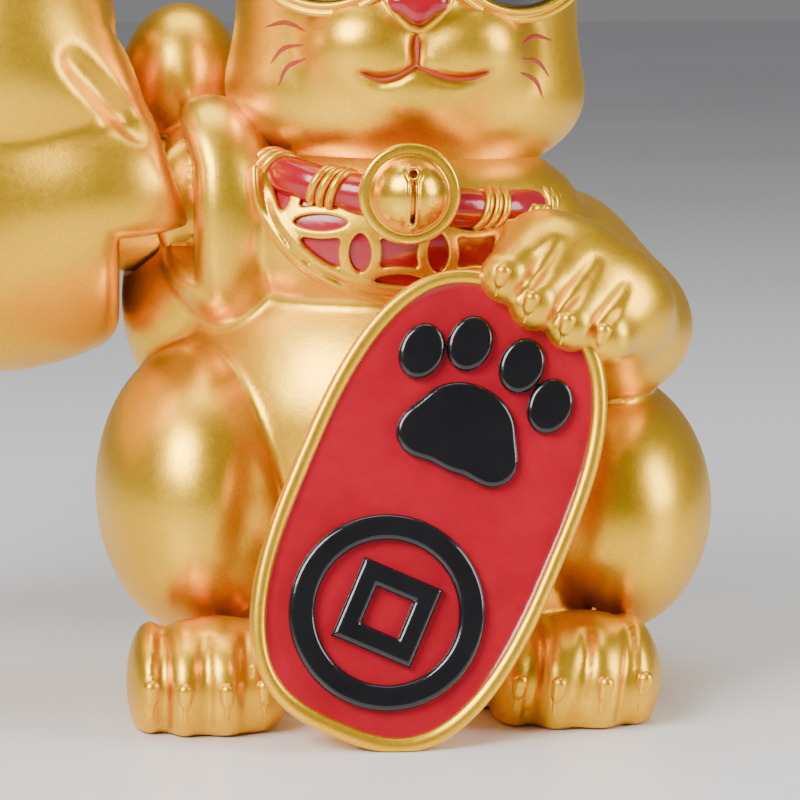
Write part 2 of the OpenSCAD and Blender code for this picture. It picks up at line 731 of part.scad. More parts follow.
module pendulum_lever() {
    color(IVORY) difference() {
        union() {
            x_cylinder(5, lever_x[0], lever_x[1]);
            block([lever_x[0], 4, weight_high[2] - 8], [lever_x[1], 12, axle_z]);
        }
        x_cylinder(axle_r + 0.02, -20, 10);
    }
}
module counterweight() {
    color(STEEL) difference() {
        block(weight_low, weight_high);
        block([lever_x[0] - 0.05, 3.95, weight_high[2] - 8.05], [lever_x[1] + 0.05, 12.05, 60]);
        translate([coil_at[0], coil_at[1], 30]) cylinder(r = 7.05, h = 8, $fn = 64);
    }
}
module drive_magnet() {
    color([0.55, 0.56, 0.58]) translate([coil_at[0], coil_at[1], 33]) cylinder(r = 7, h = 4.95, $fn = 64);
}

// ---------------------------------------------------------------- parts
body_front_shell();
body_rear_shell();
body_screws();
head_front_shell();
head_rear_shell();
ear_linings();
nose();
sunglasses_frame();
sunglasses_lenses();
collar_cord();
collar_bands();
bell();
bib();
bib_lattice();
plaque();
plaque_field();
plaque_emblems();
base_plate();
base_screws();
foot_pads();
ballast_plate();
battery_box();
battery_cell();
battery_spring();
battery_contact();
battery_door();
switch_body();
switch_slider();
mechanism_frame();
frame_screws();
outer_bush();
inner_bush();
coil_bobbin();
drive_coil();
circuit_board();
board_components();
board_posts();
positive_lead();
negative_lead();
coil_leads();
arm_front_shell();
arm_rear_shell();
arm_screws();
arm_hub();
arm_axle();
axle_clip();
pendulum_lever();
counterweight();
drive_magnet();
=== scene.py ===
"""The looks of the seated beckoning cat: shells, painted details, materials, light and camera."""
import json
import math

import bpy
import numpy as np
from mathutils import Matrix, Vector


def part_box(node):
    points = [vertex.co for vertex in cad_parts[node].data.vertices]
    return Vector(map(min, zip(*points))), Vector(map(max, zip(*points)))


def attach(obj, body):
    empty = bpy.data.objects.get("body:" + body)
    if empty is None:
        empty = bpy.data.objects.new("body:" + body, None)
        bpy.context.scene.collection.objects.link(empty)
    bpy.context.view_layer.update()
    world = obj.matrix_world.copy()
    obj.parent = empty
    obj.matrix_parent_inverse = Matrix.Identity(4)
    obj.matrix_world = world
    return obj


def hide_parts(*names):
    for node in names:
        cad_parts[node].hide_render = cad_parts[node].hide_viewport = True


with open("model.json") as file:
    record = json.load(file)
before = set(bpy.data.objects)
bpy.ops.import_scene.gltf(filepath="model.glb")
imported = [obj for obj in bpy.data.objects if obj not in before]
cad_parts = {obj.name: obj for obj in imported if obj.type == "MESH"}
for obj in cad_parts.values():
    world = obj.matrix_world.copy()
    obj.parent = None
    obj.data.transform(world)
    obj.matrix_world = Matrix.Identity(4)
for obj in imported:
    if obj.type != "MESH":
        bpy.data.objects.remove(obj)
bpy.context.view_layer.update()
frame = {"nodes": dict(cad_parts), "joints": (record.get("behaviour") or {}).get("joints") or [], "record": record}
NODES = frame["nodes"]
MM = 0.001          # shapes below are worked out in millimetres, in the frame's own axes
STEP = 0.75      # spacing of the sculpting grid
SMALL_STEP = 0.3  # the same for small pieces

ARM_SWING = next(joint for joint in frame["joints"] if joint["name"] == "arm_swing")
AXLE_Y, AXLE_Z = ARM_SWING["pos_m"][1] / MM, ARM_SWING["pos_m"][2] / MM
SPLIT_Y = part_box("body_front_shell")[1].y / MM      # where the front and rear shells meet
WALL = 2.2          # the shells' wall
SEAM = 0.02         # the gap between a front and a rear shell
CAVITY_STEP = 2.4   # spacing of the grid for a shell's inside
FAR = 300.0         # beyond everything
FIELD_FAR = 1e3     # a field's value where nothing is near


# ---- camera, light and floor
CAMERA_TURN = -5.0       # degrees round the object, towards the giant arm
CAMERA_RISE = 8.0        # degrees above the horizon
CAMERA_FAR = 600.0       # mm from the point it looks at
CAMERA_AT = (0.0, 0.0, 46.0)
VIEW_WIDTH = 132.0       # mm across the picture at that point
LIT_POINT = (0, 0, 0.07)      # metres; where every lamp points
FLOOR_HALF = 3.0              # metres
FLOOR_DROP = 0.0002           # metres below the figure's foot


def new_object(name, data):
    thing = bpy.data.objects.new(name, data)
    bpy.context.scene.collection.objects.link(thing)
    return thing


def new_mesh(name, points, faces):
    mesh = bpy.data.meshes.new(name)
    mesh.from_pydata(np.asarray(points).tolist(), [], [list(map(int, face)) for face in faces])
    return mesh


def make_camera():
    data = bpy.data.cameras.new("camera")
    camera = new_object("camera", data)
    turn, rise = math.radians(CAMERA_TURN), math.radians(CAMERA_RISE)
    back = Vector((math.sin(turn) * math.cos(rise), -math.cos(turn) * math.cos(rise), math.sin(rise)))
    camera.location = (Vector(CAMERA_AT) + back * CAMERA_FAR) * MM
    camera.rotation_mode = "QUATERNION"
    camera.rotation_quaternion = (-back).to_track_quat("-Z", "Y")
    data.sensor_width = 36.0
    data.lens = data.sensor_width * CAMERA_FAR / VIEW_WIDTH
    data.clip_start = 0.01
    data.clip_end = 20.0
    bpy.context.scene.camera = camera


def area_light(name, place, size, power):
    data = bpy.data.lights.new(name, "AREA")
    data.shape = "RECTANGLE"
    data.size, data.size_y = size
    data.energy = power
    light = new_object(name, data)
    light.location = place
    light.rotation_mode = "QUATERNION"
    light.rotation_quaternion = (Vector(LIT_POINT) - Vector(place)).to_track_quat("-Z", "Y")


def make_light_and_floor():
    world = bpy.data.worlds.new("studio")
    bpy.context.scene.world = world
    world.use_nodes = True
    background = world.node_tree.nodes["Background"]
    background.inputs["Color"].default_value = (0.80, 0.80, 0.82, 1)
    background.inputs["Strength"].default_value = 0.27
    area_light("key", (-0.50, -0.50, 0.55), (0.45, 0.45), 12.5)
    area_light("fill", (0.70, -0.30, 0.35), (0.35, 0.50), 5.5)
    area_light("top", (0.0, 0.10, 0.75), (0.60, 0.40), 3.5)
    corners = [(x * FLOOR_HALF, y * FLOOR_HALF, 0) for x, y in ((-1, -1), (1, -1), (1, 1), (-1, 1))]
    floor = new_object("floor", new_mesh("floor", corners, [(0, 1, 2, 3)]))
    floor.location.z = -FLOOR_DROP
    floor.data.materials.append(floor_material())


# ---- materials
def new_material(name, **values):
    """A material with one Principled shader, its sockets set directly."""
    material = bpy.data.materials.new(name)
    material.use_nodes = True
    shader = material.node_tree.nodes["Principled BSDF"]
    for socket, value in values.items():
        shader.inputs[socket.replace("_", " ")].default_value = value
    return material, material.node_tree, shader


def noise(tree, scale, detail=3.0, roughness=0.55):
    """Noise in the object's own space, with scale counted per metre."""
    place = tree.nodes.new("ShaderNodeTexCoord")
    node = tree.nodes.new("ShaderNodeTexNoise")
    node.inputs["Scale"].default_value = scale
    node.inputs["Detail"].default_value = detail
    node.inputs["Roughness"].default_value = roughness
    tree.links.new(place.outputs["Object"], node.inputs["Vector"])
    return node.outputs["Fac"]


def ramp(tree, source, stops):
    node = tree.nodes.new("ShaderNodeValToRGB")
    elements = node.color_ramp.elements
    while len(elements) < len(stops):
        elements.new(0.5)
    for element, (place, colour) in zip(elements, stops):
        element.position = place
        element.color = (*colour, 1)
    tree.links.new(source, node.inputs["Fac"])
    return node.outputs["Color"]


def drift(tree, socket, scale, detail, low, high):
    """Lets a socket wander between two colours or levels, with a noise."""
    tree.links.new(ramp(tree, noise(tree, scale, detail), [(0.3, low), (0.7, high)]), socket)


def grey(level):
    return (level, level, level)


def mix(tree, factor, first, second, kind="MIX"):
    node = tree.nodes.new("ShaderNodeMix")
    node.data_type = "RGBA"
    node.blend_type = kind
    # a Mix node's inputs 0, 6 and 7 are the factor and the two colours; output 2 is the colour
    for socket, source in ((node.inputs[0], factor), (node.inputs[6], first), (node.inputs[7], second)):
        if isinstance(source, (int, float)):
            socket.default_value = source
        elif isinstance(source, tuple):
            socket.default_value = (*source, 1)
        else:
            tree.links.new(source, socket)
    return node.outputs[2]


def bump(tree, shader, height, strength, distance):
    """Adds a bump on top of any that the shader already has."""
    node = tree.nodes.new("ShaderNodeBump")
    node.inputs["Strength"].default_value = strength
    node.inputs["Distance"].default_value = distance
    tree.links.new(height, node.inputs["Height"])
    for old in list(shader.inputs["Normal"].links):
        tree.links.new(old.from_socket, node.inputs["Normal"])
    tree.links.new(node.outputs["Normal"], shader.inputs["Normal"])


def gold_paint(name, light=(0.98, 0.56, 0.018), dark=(0.94, 0.50, 0.012), roughness=0.34, grain=1.0):
    """Metallic paint: fine flakes, slow drifts of tone, and painted shade: amber where the vertex attribute for
    creases and hollows is high.
    """
    material, tree, shader = new_material(name, Metallic=0.92, Roughness=roughness)
    tone = ramp(tree, noise(tree, 45, 4), [(0.35, dark), (0.65, light)])
    flakes = ramp(tree, noise(tree, 2600, 2, 0.7), [(0.36, grey(0.88)), (0.64, grey(1.06))])
    speckled = mix(tree, 0.8 * grain, tone, flakes, "MULTIPLY")
    # painted shade: a vertex attribute, high in creases and hollows, mixes the gold towards this amber colour
    painted_shade = tree.nodes.new("ShaderNodeAttribute")
    painted_shade.attribute_name = "painted_shade"
    shaded_gold = mix(tree, painted_shade.outputs["Fac"], speckled, (0.82, 0.39, 0.008))
    tree.links.new(shaded_gold, shader.inputs["Base Color"])
    drift(tree, shader.inputs["Roughness"], 900, 3, grey(roughness - 0.01), grey(roughness + 0.04))
    bump(tree, shader, noise(tree, 2400, 1, 0.5), 0.16 * grain, 0.00010)
    bump(tree, shader, noise(tree, 160, 2), 0.20, 0.0003)
    return material


def enamel(name, colour, deep, roughness, wave=0.3):
    """Thick glossy enamel that pools in slow waves."""
    material, tree, shader = new_material(name, Roughness=roughness, Coat_Weight=0.35, Coat_Roughness=0.08)
    drift(tree, shader.inputs["Base Color"], 140, 4, deep, colour)
    drift(tree, shader.inputs["Roughness"], 500, 3, grey(roughness), grey(roughness + 0.08))
    bump(tree, shader, noise(tree, 220, 3), wave, 0.0004)
    bump(tree, shader, noise(tree, 1500, 2), 0.10, 0.0001)
    return material


def plain(name, colour, roughness, metallic, grain, vary, bumpiness=0.12):
    """Moulded plastic or plain metal: a fine grain and slight changes of tone and gloss."""
    material, tree, shader = new_material(name, Metallic=metallic)
    low = tuple(c * (1 - vary) for c in colour)
    high = tuple(min(1.0, c * (1 + vary)) for c in colour)
    drift(tree, shader.inputs["Base Color"], 70, 4, low, high)
    drift(tree, shader.inputs["Roughness"], 300, 3, grey(roughness), grey(roughness + 0.12))
    bump(tree, shader, noise(tree, grain, 3), bumpiness, 0.0001)
    return material


def floor_material():
    material, tree, shader = new_material("pale_table", Roughness=0.3)
    drift(tree, shader.inputs["Base Color"], 4, 3, (0.76, 0.76, 0.77), (0.82, 0.82, 0.83))
    bump(tree, shader, noise(tree, 400, 2), 0.03, 0.0002)
    return material


# ---- sculpting with distance fields
# A field takes points, an array of rows x, y, z in millimetres, and gives how far each lies outside.
def turn_matrix(turn):
    """The matrix that turns about X, then Y, then Z, in degrees."""
    a, b, c = (math.radians(angle) for angle in turn)
    return np.array(Matrix.Rotation(c, 3, "Z") @ Matrix.Rotation(b, 3, "Y") @ Matrix.Rotation(a, 3, "X"))


def length(rows):
    return np.sqrt((rows * rows).sum(1))


def lobe(centre, radii, turn=(0, 0, 0)):
    """An ellipsoid, turned about X, then Y, then Z, in degrees."""
    centre, radii, matrix = np.array(centre, float), np.array(radii, float), turn_matrix(turn)

    def field(p):
        q = (p - centre) @ matrix / radii
        near = length(q)
        return near * (near - 1) / np.maximum(length(q / radii), 1e-6)
    return field


def limb(start, end, start_r, end_r):
    """A straight limb with round ends, tapering from one radius to the other."""
    start, end = np.array(start, float), np.array(end, float)
    along = end - start
    length2 = along @ along

    def field(p):
        t = np.clip((p - start) @ along / length2, 0, 1)
        return length(p - start - t[:, None] * along) - (start_r + (end_r - start_r) * t)
    return field


def chain(points, radii):
    """A bent limb through the points, with a radius at each."""
    pieces = [limb(a, b, ra, rb) for a, b, ra, rb in zip(points, points[1:], radii, radii[1:])]
    return melt(0.8, *pieces)


def join(k, a, b):
    """The nearer of two distances, rounded where they are within k of each other."""
    h = np.maximum(k - np.abs(a - b), 0) / k
    return np.minimum(a, b) - h * h * k / 4


def melt(k, *fields):
    """The fields run into each other over k millimetres: 1 leaves a crease, 10 hides it."""
    def field(p):
        d = fields[0](p)
        for other in fields[1:]:
            d = join(k, d, other(p))
        return d
    return field


def carve(field, k, *cutters):
    """Takes the cutters out of the field, with edges rounded over k millimetres."""
    def carved(p):
        d = field(p)
        for cutter in cutters:
            d = -join(k, -d, cutter(p))
        return d
    return carved


def keep(field, limit):
    """The part of the field that is inside the limit too, with sharp edges."""
    return lambda p: np.maximum(field(p), limit(p))


def half(axis, limit, above=False):
    """Everything on one side of a plane across an axis."""
    return (lambda p: limit - p[:, axis]) if above else (lambda p: p[:, axis] - limit)


def sample(field, low, high, step):
    """The field on a grid, worked out closely only near the surface."""
    block = 8
    count = [int(math.ceil((h - l) / step / block)) * block for l, h in zip(low, high)]
    axes = [l + step * np.arange(n + 1) for l, n in zip(low, count)]
    coarse = [axis[block // 2::block] for axis in axes]
    centres = np.stack(np.meshgrid(*coarse, indexing="ij"), -1)
    middle = field(centres.reshape(-1, 3)).reshape(centres.shape[:3])
    spread = np.pad(middle.repeat(block, 0).repeat(block, 1).repeat(block, 2), ((0, 1),) * 3, mode="edge")
    values = np.where(spread < 0, -FIELD_FAR, FIELD_FAR).astype(np.float32)
    reach = block * step * 0.87 * 1.8 + 1.0
    near = np.argwhere(np.abs(middle) < reach)
    offsets = np.stack(np.meshgrid(*[np.arange(block + 1)] * 3, indexing="ij"), -1).reshape(-1, 3)
    for start in range(0, len(near), 400):
        index = (near[start:start + 400, None, :] * block + offsets[None]).reshape(-1, 3)
        points = np.array(low) + step * index
        values[index[:, 0], index[:, 1], index[:, 2]] = field(points)
    return values


CORNERS = np.array([(x, y, z) for x in (0, 1) for y in (0, 1) for z in (0, 1)])
EDGES = [(a, b) for a in range(8) for b in range(a + 1, 8) if np.abs(CORNERS[a] - CORNERS[b]).sum() == 1]


def surface(values, low, step):
    """Surface nets: one point in each cell that the surface crosses, and quads between them."""
    inside = values < 0
    cells = [n - 1 for n in values.shape]
    shifted = (inside[x:x + cells[0], y:y + cells[1], z:z + cells[2]] for x, y, z in CORNERS)
    total = sum(each.astype(np.int8) for each in shifted)
    crossed = (total > 0) & (total < 8)
    at = np.argwhere(crossed)
    number = np.full(cells, -1, np.int64)
    number[tuple(at.T)] = np.arange(len(at))
    corner = np.stack([values[tuple((at + c).T)] for c in CORNERS], 1)
    place, hits = np.zeros((len(at), 3)), np.zeros(len(at))
    for a, b in EDGES:
        va, vb = corner[:, a], corner[:, b]
        cross = (va < 0) != (vb < 0)
        t = np.where(cross, va / np.where(cross, va - vb, 1), 0)
        place += np.where(cross, 1, 0)[:, None] * (CORNERS[a] + t[:, None] * (CORNERS[b] - CORNERS[a]))
        hits += cross
    points = np.array(low) + step * (at + place / hits[:, None])
    quads = []
    for axis in range(3):
        one, two = [i for i in range(3) if i != axis]
        take = [slice(1, -1)] * 3
        take[axis] = slice(0, -1)
        ahead = list(take)
        ahead[axis] = slice(1, None)
        here, there = inside[tuple(take)], inside[tuple(ahead)]
        for flip, change in ((axis == 1, here & ~there), (axis != 1, ~here & there)):
            base = np.argwhere(change)
            for i in (one, two):
                base[:, i] += 1
            ring = []
            for da, db in ((0, 0), (-1, 0), (-1, -1), (0, -1)):
                cell = base.copy()
                cell[:, one] += da
                cell[:, two] += db
                ring.append(number[tuple(cell.T)])
            quad = np.stack(ring, 1)
            quads.append(quad[:, ::-1] if flip else quad)
    quads = np.concatenate(quads)
    return points, quads[(quads >= 0).all(1)]


def slope(field, points):
    """The field's gradient at each point."""
    reach = 0.05
    out = np.empty_like(points)
    for axis in range(3):
        shift = np.zeros(3)
        shift[axis] = reach
        out[:, axis] = (field(points + shift) - field(points - shift)) / (2 * reach)
    return out


def settle(field, points, most):
    """Moves points onto the field's surface in two rounds, each by at most so far a round."""
    for _ in range(2):
        d = field(points)
        g = slope(field, points)
        size2 = np.maximum((g * g).sum(1), 0.05)
        points = points - np.clip(d, -most, most)[:, None] * g / size2[:, None]
    return points


def solid(field, low, high, step, soft=0.5):
    """A closed mesh of the field's surface, in millimetres."""
    values = sample(field, low, high, step)
    points, quads = surface(values, low, step)
    return settle(field, points, step * soft), quads


# ---- making pieces
def mesh_object(name, points, faces, body, material, slot, replaced=()):
    """A Blender piece from points in millimetres, riding on a body and standing for CAD nodes."""
    mesh = new_mesh(name, np.asarray(points) * MM, faces)
    mesh.update()
    mesh.shade_smooth()
    thing = new_object(name, mesh)
    mesh.materials.append(material)
    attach(thing, body)
    if replaced:
        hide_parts(*replaced)
    return thing


def paint_crease_shade(thing, points, field):
    """Paints shade into hollows and creases as a vertex attribute: out from them, the surface stays nearer than it
    would over a flat.
    """
    g = slope(field, points)
    g /= np.maximum(length(g), 1e-6)[:, None]
    shade = np.zeros(len(points))
    for far in (1.1, 2.2, 4.4):
        shade += np.clip(1 - field(points + g * far) / far, 0, 1) / 3
    # painted shade: the gold paint mixes towards amber where this attribute is high
    attribute = thing.data.attributes.new("painted_shade", "FLOAT", "POINT")
    attribute.data.foreach_set("value", np.clip(shade * 1.5 - 0.10, 0, 0.85).astype(np.float32))


def sculpt(name, field, low, high, body, material, slot, replaced, step, crease=True):
    """Turns a field into a piece, with painted shade in its hollows unless crease is off."""
    points, quads = solid(field, low, high, step)
    thing = mesh_object(name, points, quads, body, material, slot, replaced)
    if crease:
        paint_crease_shade(thing, points, field)


def finished(name, mesh_data, form, body, material, slot, replaced):
    """A cut solid as a piece: smooth over soft turns, sharp at cut edges, painted shade in its hollows."""
    points, faces = mesh_data
    thing = mesh_object(name, points, faces, body, material, slot, replaced)
    thing.data.set_sharp_from_angle(angle=math.radians(38))
    paint_crease_shade(thing, points, form)


# ---- cutting solids
def scratch(points, faces):
    return new_object("scratch", new_mesh("scratch", points, faces))


def cut(base, cutters):
    """The base solid with each (kind, solid) applied in turn, as (points, faces)."""
    thing = scratch(*base)
    helpers = [thing]
    for kind, shape in cutters:
        other = scratch(*shape)
        helpers.append(other)
        modifier = thing.modifiers.new("cut", "BOOLEAN")
        modifier.operation = kind
        modifier.solver = "MANIFOLD"
        modifier.object = other
    bpy.context.view_layer.update()
    result = bpy.data.meshes.new_from_object(thing.evaluated_get(bpy.context.evaluated_depsgraph_get()))
    points = np.array([v.co for v in result.vertices])
    faces = [tuple(face.vertices) for face in result.polygons]
    for helper in helpers:
        mesh = helper.data
        bpy.data.objects.remove(helper)
        bpy.data.meshes.remove(mesh)
    bpy.data.meshes.remove(result)
    return points, faces


def box_solid(low, high):
    points = [(x, y, z) for x in (low[0], high[0]) for y in (low[1], high[1]) for z in (low[2], high[2])]
    faces = [(0, 1, 3, 2), (4, 6, 7, 5), (0, 4, 5, 1), (2, 3, 7, 6), (0, 2, 6, 4), (1, 5, 7, 3)]
    return points, faces


def prism(outline, low, high, axis):
    """A prism on an outline, running from low to high along an axis."""
    n = len(outline)
    order = {0: (2, 0, 1), 1: (1, 2, 0), 2: (0, 1, 2)}[axis]
    points = []
    for level in (low, high):
        for u, v in outline:
            point = (u, v, level)
            points.append(tuple(point[i] for i in order))
    sides = [(i, (i + 1) % n, n + (i + 1) % n, n + i) for i in range(n)]
    return points, sides + [tuple(range(n - 1, -1, -1)), tuple(range(n, 2 * n))]


def round_outline(centre, radius, count):
    turns = [2 * math.pi * i / count for i in range(count)]
    return [(centre[0] + radius * math.cos(t), centre[1] + radius * math.sin(t)) for t in turns]


# ---- finding the skin
def on_skin(field, xz, out):
    """Points on the front of a form at the given x, z, pushed out along the skin's own normal."""
    start_y = -90.0
    p = np.array([(x, start_y, z) for x, z in xz], float)
    for _ in range(90):
        p[:, 1] += np.clip(field(p) * 0.8, 0, 4)
    n = slope(field, p)
    return p + n / length(n)[:, None] * out


def bend(points, count):
    """A smooth curve through a few points of x, z."""
    points = np.array(points, float)
    padded = np.concatenate([2 * points[:1] - points[1:2], points, 2 * points[-1:] - points[-2:-1]])
    spans = len(points) - 1
    out = []
    for i in range(count + 1):
        u = min(i / count * spans, spans - 1e-6)
        k, t = int(u), u - int(u)
        a, b, c, d = padded[k:k + 4]
        out.append(0.5 * (2 * b + (c - a) * t + (2 * a - 5 * b + 4 * c - d) * t * t
                          + (3 * b - a - 3 * c + d) * t ** 3))
    return np.array(out)


def groove(field, xz, width, depth):
    """A cutter that draws a groove on the front of a form, thin at both ends."""
    xz = bend(xz, 16)
    middle = on_skin(field, xz, out=width - depth)
    fade = np.sin(np.linspace(0.12, math.pi - 0.12, len(xz))) ** 0.5
    return chain(middle, width * (0.45 + 0.55 * fade))


def loft(rows, count, closed=False):
    """The quads from each ring of points to the next, and from the last to the first if closed."""
    faces = []
    for i in range(rows if closed else rows - 1):
        j = (i + 1) % rows
        for k in range(count):
            m = (k + 1) % count
            faces.append((i * count + k, i * count + m, j * count + m, j * count + k))
    return faces


def tube(points, radii, sides):
    """A tube through points, with a radius at each; returns (points, faces)."""
    points = np.asarray(points, float)
    count = len(points)
    radii = np.broadcast_to(np.asarray(radii, float), (count,))
    ahead = np.gradient(points, axis=0)
    ahead /= length(ahead)[:, None]
    side = np.cross(ahead[0], (0, 0, 1.0) if abs(ahead[0][2]) < 0.9 else (1.0, 0, 0))
    rings = []
    for i in range(count):
        side = side - (side @ ahead[i]) * ahead[i]
        side /= np.linalg.norm(side)
        up = np.cross(ahead[i], side)
        angle = np.linspace(0, 2 * math.pi, sides, endpoint=False)
        rings.append(points[i] + radii[i] * (np.cos(angle)[:, None] * side + np.sin(angle)[:, None] * up))
    faces = loft(count, sides)
    tips = [points[0] - ahead[0] * radii[0] * 0.8, points[-1] + ahead[-1] * radii[-1] * 0.8]
    first, last = count * sides, count * sides + 1
    for k in range(sides):
        m = (k + 1) % sides
        faces.append((k, first, m))
        faces.append(((count - 1) * sides + m, last, (count - 1) * sides + k))
    return np.concatenate(rings + [np.array(tips)]), faces


def gather(*parts):
    """Several (points, faces) as one."""
    points, faces, start = [], [], 0
    for part_points, part_faces in parts:
        points.append(np.asarray(part_points, float))
        faces += [tuple(int(i) + start for i in face) for face in part_faces]
        start += len(part_points)
    return np.concatenate(points), faces


# ---- the forms of body, head and arm
def ear_form(side, grow=0.0, centre=(16.5, 0, 122), tip=(22, 1, 146), radii=(11.5, 3.0), thin=0.62):
    """A pointed ear, flattened from front to back; thin is its depth against its width."""
    a, b = np.array(centre, float), np.array(tip, float)
    a[0] *= side
    b[0] *= side
    stretch = np.array([1, 1 / thin, 1])
    cone = limb(a * stretch, b * stretch, radii[0] + grow, radii[1] + grow)
    return lambda p: cone(p * stretch) * 0.75


NECK = np.array([0, -3, 84.0])
HEAD_LEAN = turn_matrix((0, 2.0, 0))


def head_turned(field):
    """The head leans a little about the neck."""
    return lambda p: field((p - NECK) @ HEAD_LEAN + NECK)


def plain_head():
    skull = melt(7, lobe((0, -4, 97), (29, 23, 15)), lobe((0, -2, 110), (27.5, 23, 24)))
    cheeks = melt(1.6, *[lobe((x, -22, 105), (9.5, 8, 8)) for x in (7, -7)])
    face = melt(4.5, skull, cheeks, lobe((0, -22.5, 98.5), (7, 6, 5)))
    face = melt(4, face, lobe((0, -22, 114), (6, 7, 7)))
    return melt(5, face, ear_form(1), ear_form(-1))


TORSO = melt(9, lobe((0, 8, 44), (42.5, 30, 44)), lobe((0, -8, 42), (33, 25, 28)))
CHEST = lobe((0, -7, 75), (30, 21, 17))
THIGHS = lobe((33, -7, 30), (17.3, 27, 21.5)), lobe((-33, -7, 33), (17.3, 27, 24))
SMALL_FOREARM = lobe((29, -13, 61), (17.3, 20, 13.5), (0, 12, 0))


# Each foot: its middle, the spacing of the lines between its toes, and how far they lean by the floor
FEET = [
    {"middle": -31.9, "line": -33.8, "pitch": 6.4, "lean": 0.0},
    {"middle": 25.4, "line": 25.6, "pitch": 7.2, "lean": -2.6},
]


def toe_mark(foot, step, high, low):
    """Three points down a foot's front, so many toes from its middle line, in x and z."""
    start = foot["line"] + step * foot["pitch"]
    return [(start + foot["lean"] * (1 - z / 15), z) for z in np.linspace(high, low, 3)]


def foot_form(foot):
    toes = []
    for step in (-1.3, -0.5, 0.5, 1.3):
        middle = foot["line"] + step * foot["pitch"] + foot["lean"] * 0.5
        toes.append(lobe((middle, -35.0 + 1.7 * step ** 2, 6.4), (0.58 * foot["pitch"], 11.2, 9.4)))
    return melt(2.0, lobe((foot["middle"], -33.4, 6.8), (12.7, 12.3, 9.9)), melt(2.0, *toes))


# The base's outline and its opening are two half circles with straight sides between them
BASE_Y = 2
BASE_REACH = 9              # from the middle to each half circle's centre, along X
BASE_R = 31
BASE_TOP = 22
OPENING_R = 27 + 0.15       # the door's radius and its play


def base_block():
    def field(p):
        q = p - np.array([0, BASE_Y, 0.0])
        q[:, 0] = np.maximum(np.abs(q[:, 0]) - BASE_REACH, 0)
        radius = BASE_R - 1.5 * np.clip(1 - q[:, 2] / 5, 0, 1)
        out = np.sqrt(q[:, 0] ** 2 + q[:, 1] ** 2) - radius
        return np.maximum(out, q[:, 2] - BASE_TOP)
    return field


def opening_outline():
    return [(s * BASE_REACH + OPENING_R * math.cos(t), BASE_Y + OPENING_R * math.sin(t))
            for s, start in ((1, -math.pi / 2), (-1, math.pi / 2))
            for t in np.linspace(start, start + math.pi, 32)]


def tail_form():
    points = []
    for a in range(0, 76, 15):
        t = math.radians(a)
        points.append((38 * math.sin(t), 8 + 27 * math.cos(t) + 5 * math.sin(t), 9 + 0.2 * a))
    return chain(points, [6.0] * len(points))


# The small paw over the plaque's edge: each finger's knuckle and tip, and the lines between
FINGERS = [
    ((18.6, -31.5, 74.4), (12.9, -40.6, 70.6)),
    ((24.6, -31.5, 72.4), (17.2, -41.6, 66.6)),
    ((30.2, -31.0, 68.6), (22.8, -41.4, 63.2)),
    ((34.4, -29.5, 64.4), (28.6, -39.8, 61.2)),
]


def finger_gaps():
    """The line between each finger and the next, in x and z."""
    gaps = []
    for (knuckle, tip), (next_knuckle, next_tip) in zip(FINGERS, FINGERS[1:]):
        ends = (np.array(knuckle) + next_knuckle) / 2, (np.array(tip) + next_tip) / 2
        gaps.append([(ends[0][0] - 0.5, ends[0][2] + 2.5), (ends[1][0] - 0.5, ends[1][2] - 0.5)])
    return gaps


def small_arm_form():
    upper = lobe((25, 2, 67), (15, 18, 14), (0, 10, 0))
    wrist = lobe((25, -29, 67), (12.5, 11, 10), (0, 25, 0))
    return melt(7, upper, SMALL_FOREARM, wrist)


def paw_form():
    back = limb((20.5, -31.5, 71.5), (31.5, -30.5, 65.0), 8.0, 7.4)
    fingers = melt(0.9, *[limb(a, b, 4.7, 4.2) for a, b in FINGERS])
    return melt(3.0, back, fingers)


def chest_form():
    """The trunk without the small arm and the feet."""
    belly = melt(1.2, melt(1.6, TORSO, *THIGHS), lobe((-31, 10, 62), (14.5, 17, 20)))
    upper = melt(2.5, CHEST, lobe((-28, 6, 80), (13, 15, 15)))
    upper = melt(1.4, upper, lobe((-29.5, -7, 78), (11.5, 14.5, 19), (0, -8, 0)))
    upper = melt(1.6, upper, lobe((-35.0, 16.5, 97), (10.4, 12.2, 13.8)))
    trunk = melt(2.0, belly, upper)
    trunk = melt(2.0, trunk, base_block())
    return melt(2.0, trunk, tail_form())


def body_form():
    trunk = melt(2.0, chest_form(), melt(5.0, small_arm_form(), paw_form()))
    return melt(1.0, trunk, *[foot_form(foot) for foot in FEET])


# The giant arm's muscles, in arm_form's order: centre, radii and turn
ARM_MUSCLES = [
    ((-65, 3, 101.5), (22.0, 25, 25), (0, 0, 0)),
    ((-80, 0, 77), (42, 24, 25), (0, -4, 0)),
    ((-82, 13, 70), (40, 23, 20), (0, -4, 0)),
    ((-116, 10, 74), (24, 23, 25), (0, 0, 0)),
    ((-119, 4, 108), (20, 21, 34), (0, 6, 0)),
    ((-108, 10, 106), (17, 19, 30), (0, -4, 0)),
    ((-115, 6, 140), (15.5, 15.5, 22), (0, 0, 0)),
    ((-116, 4, 168), (21, 19, 20), (0, 0, 0)),
]
ROOT_FACE_X = -46.0         # where the arm's round root ends and the arm proper starts


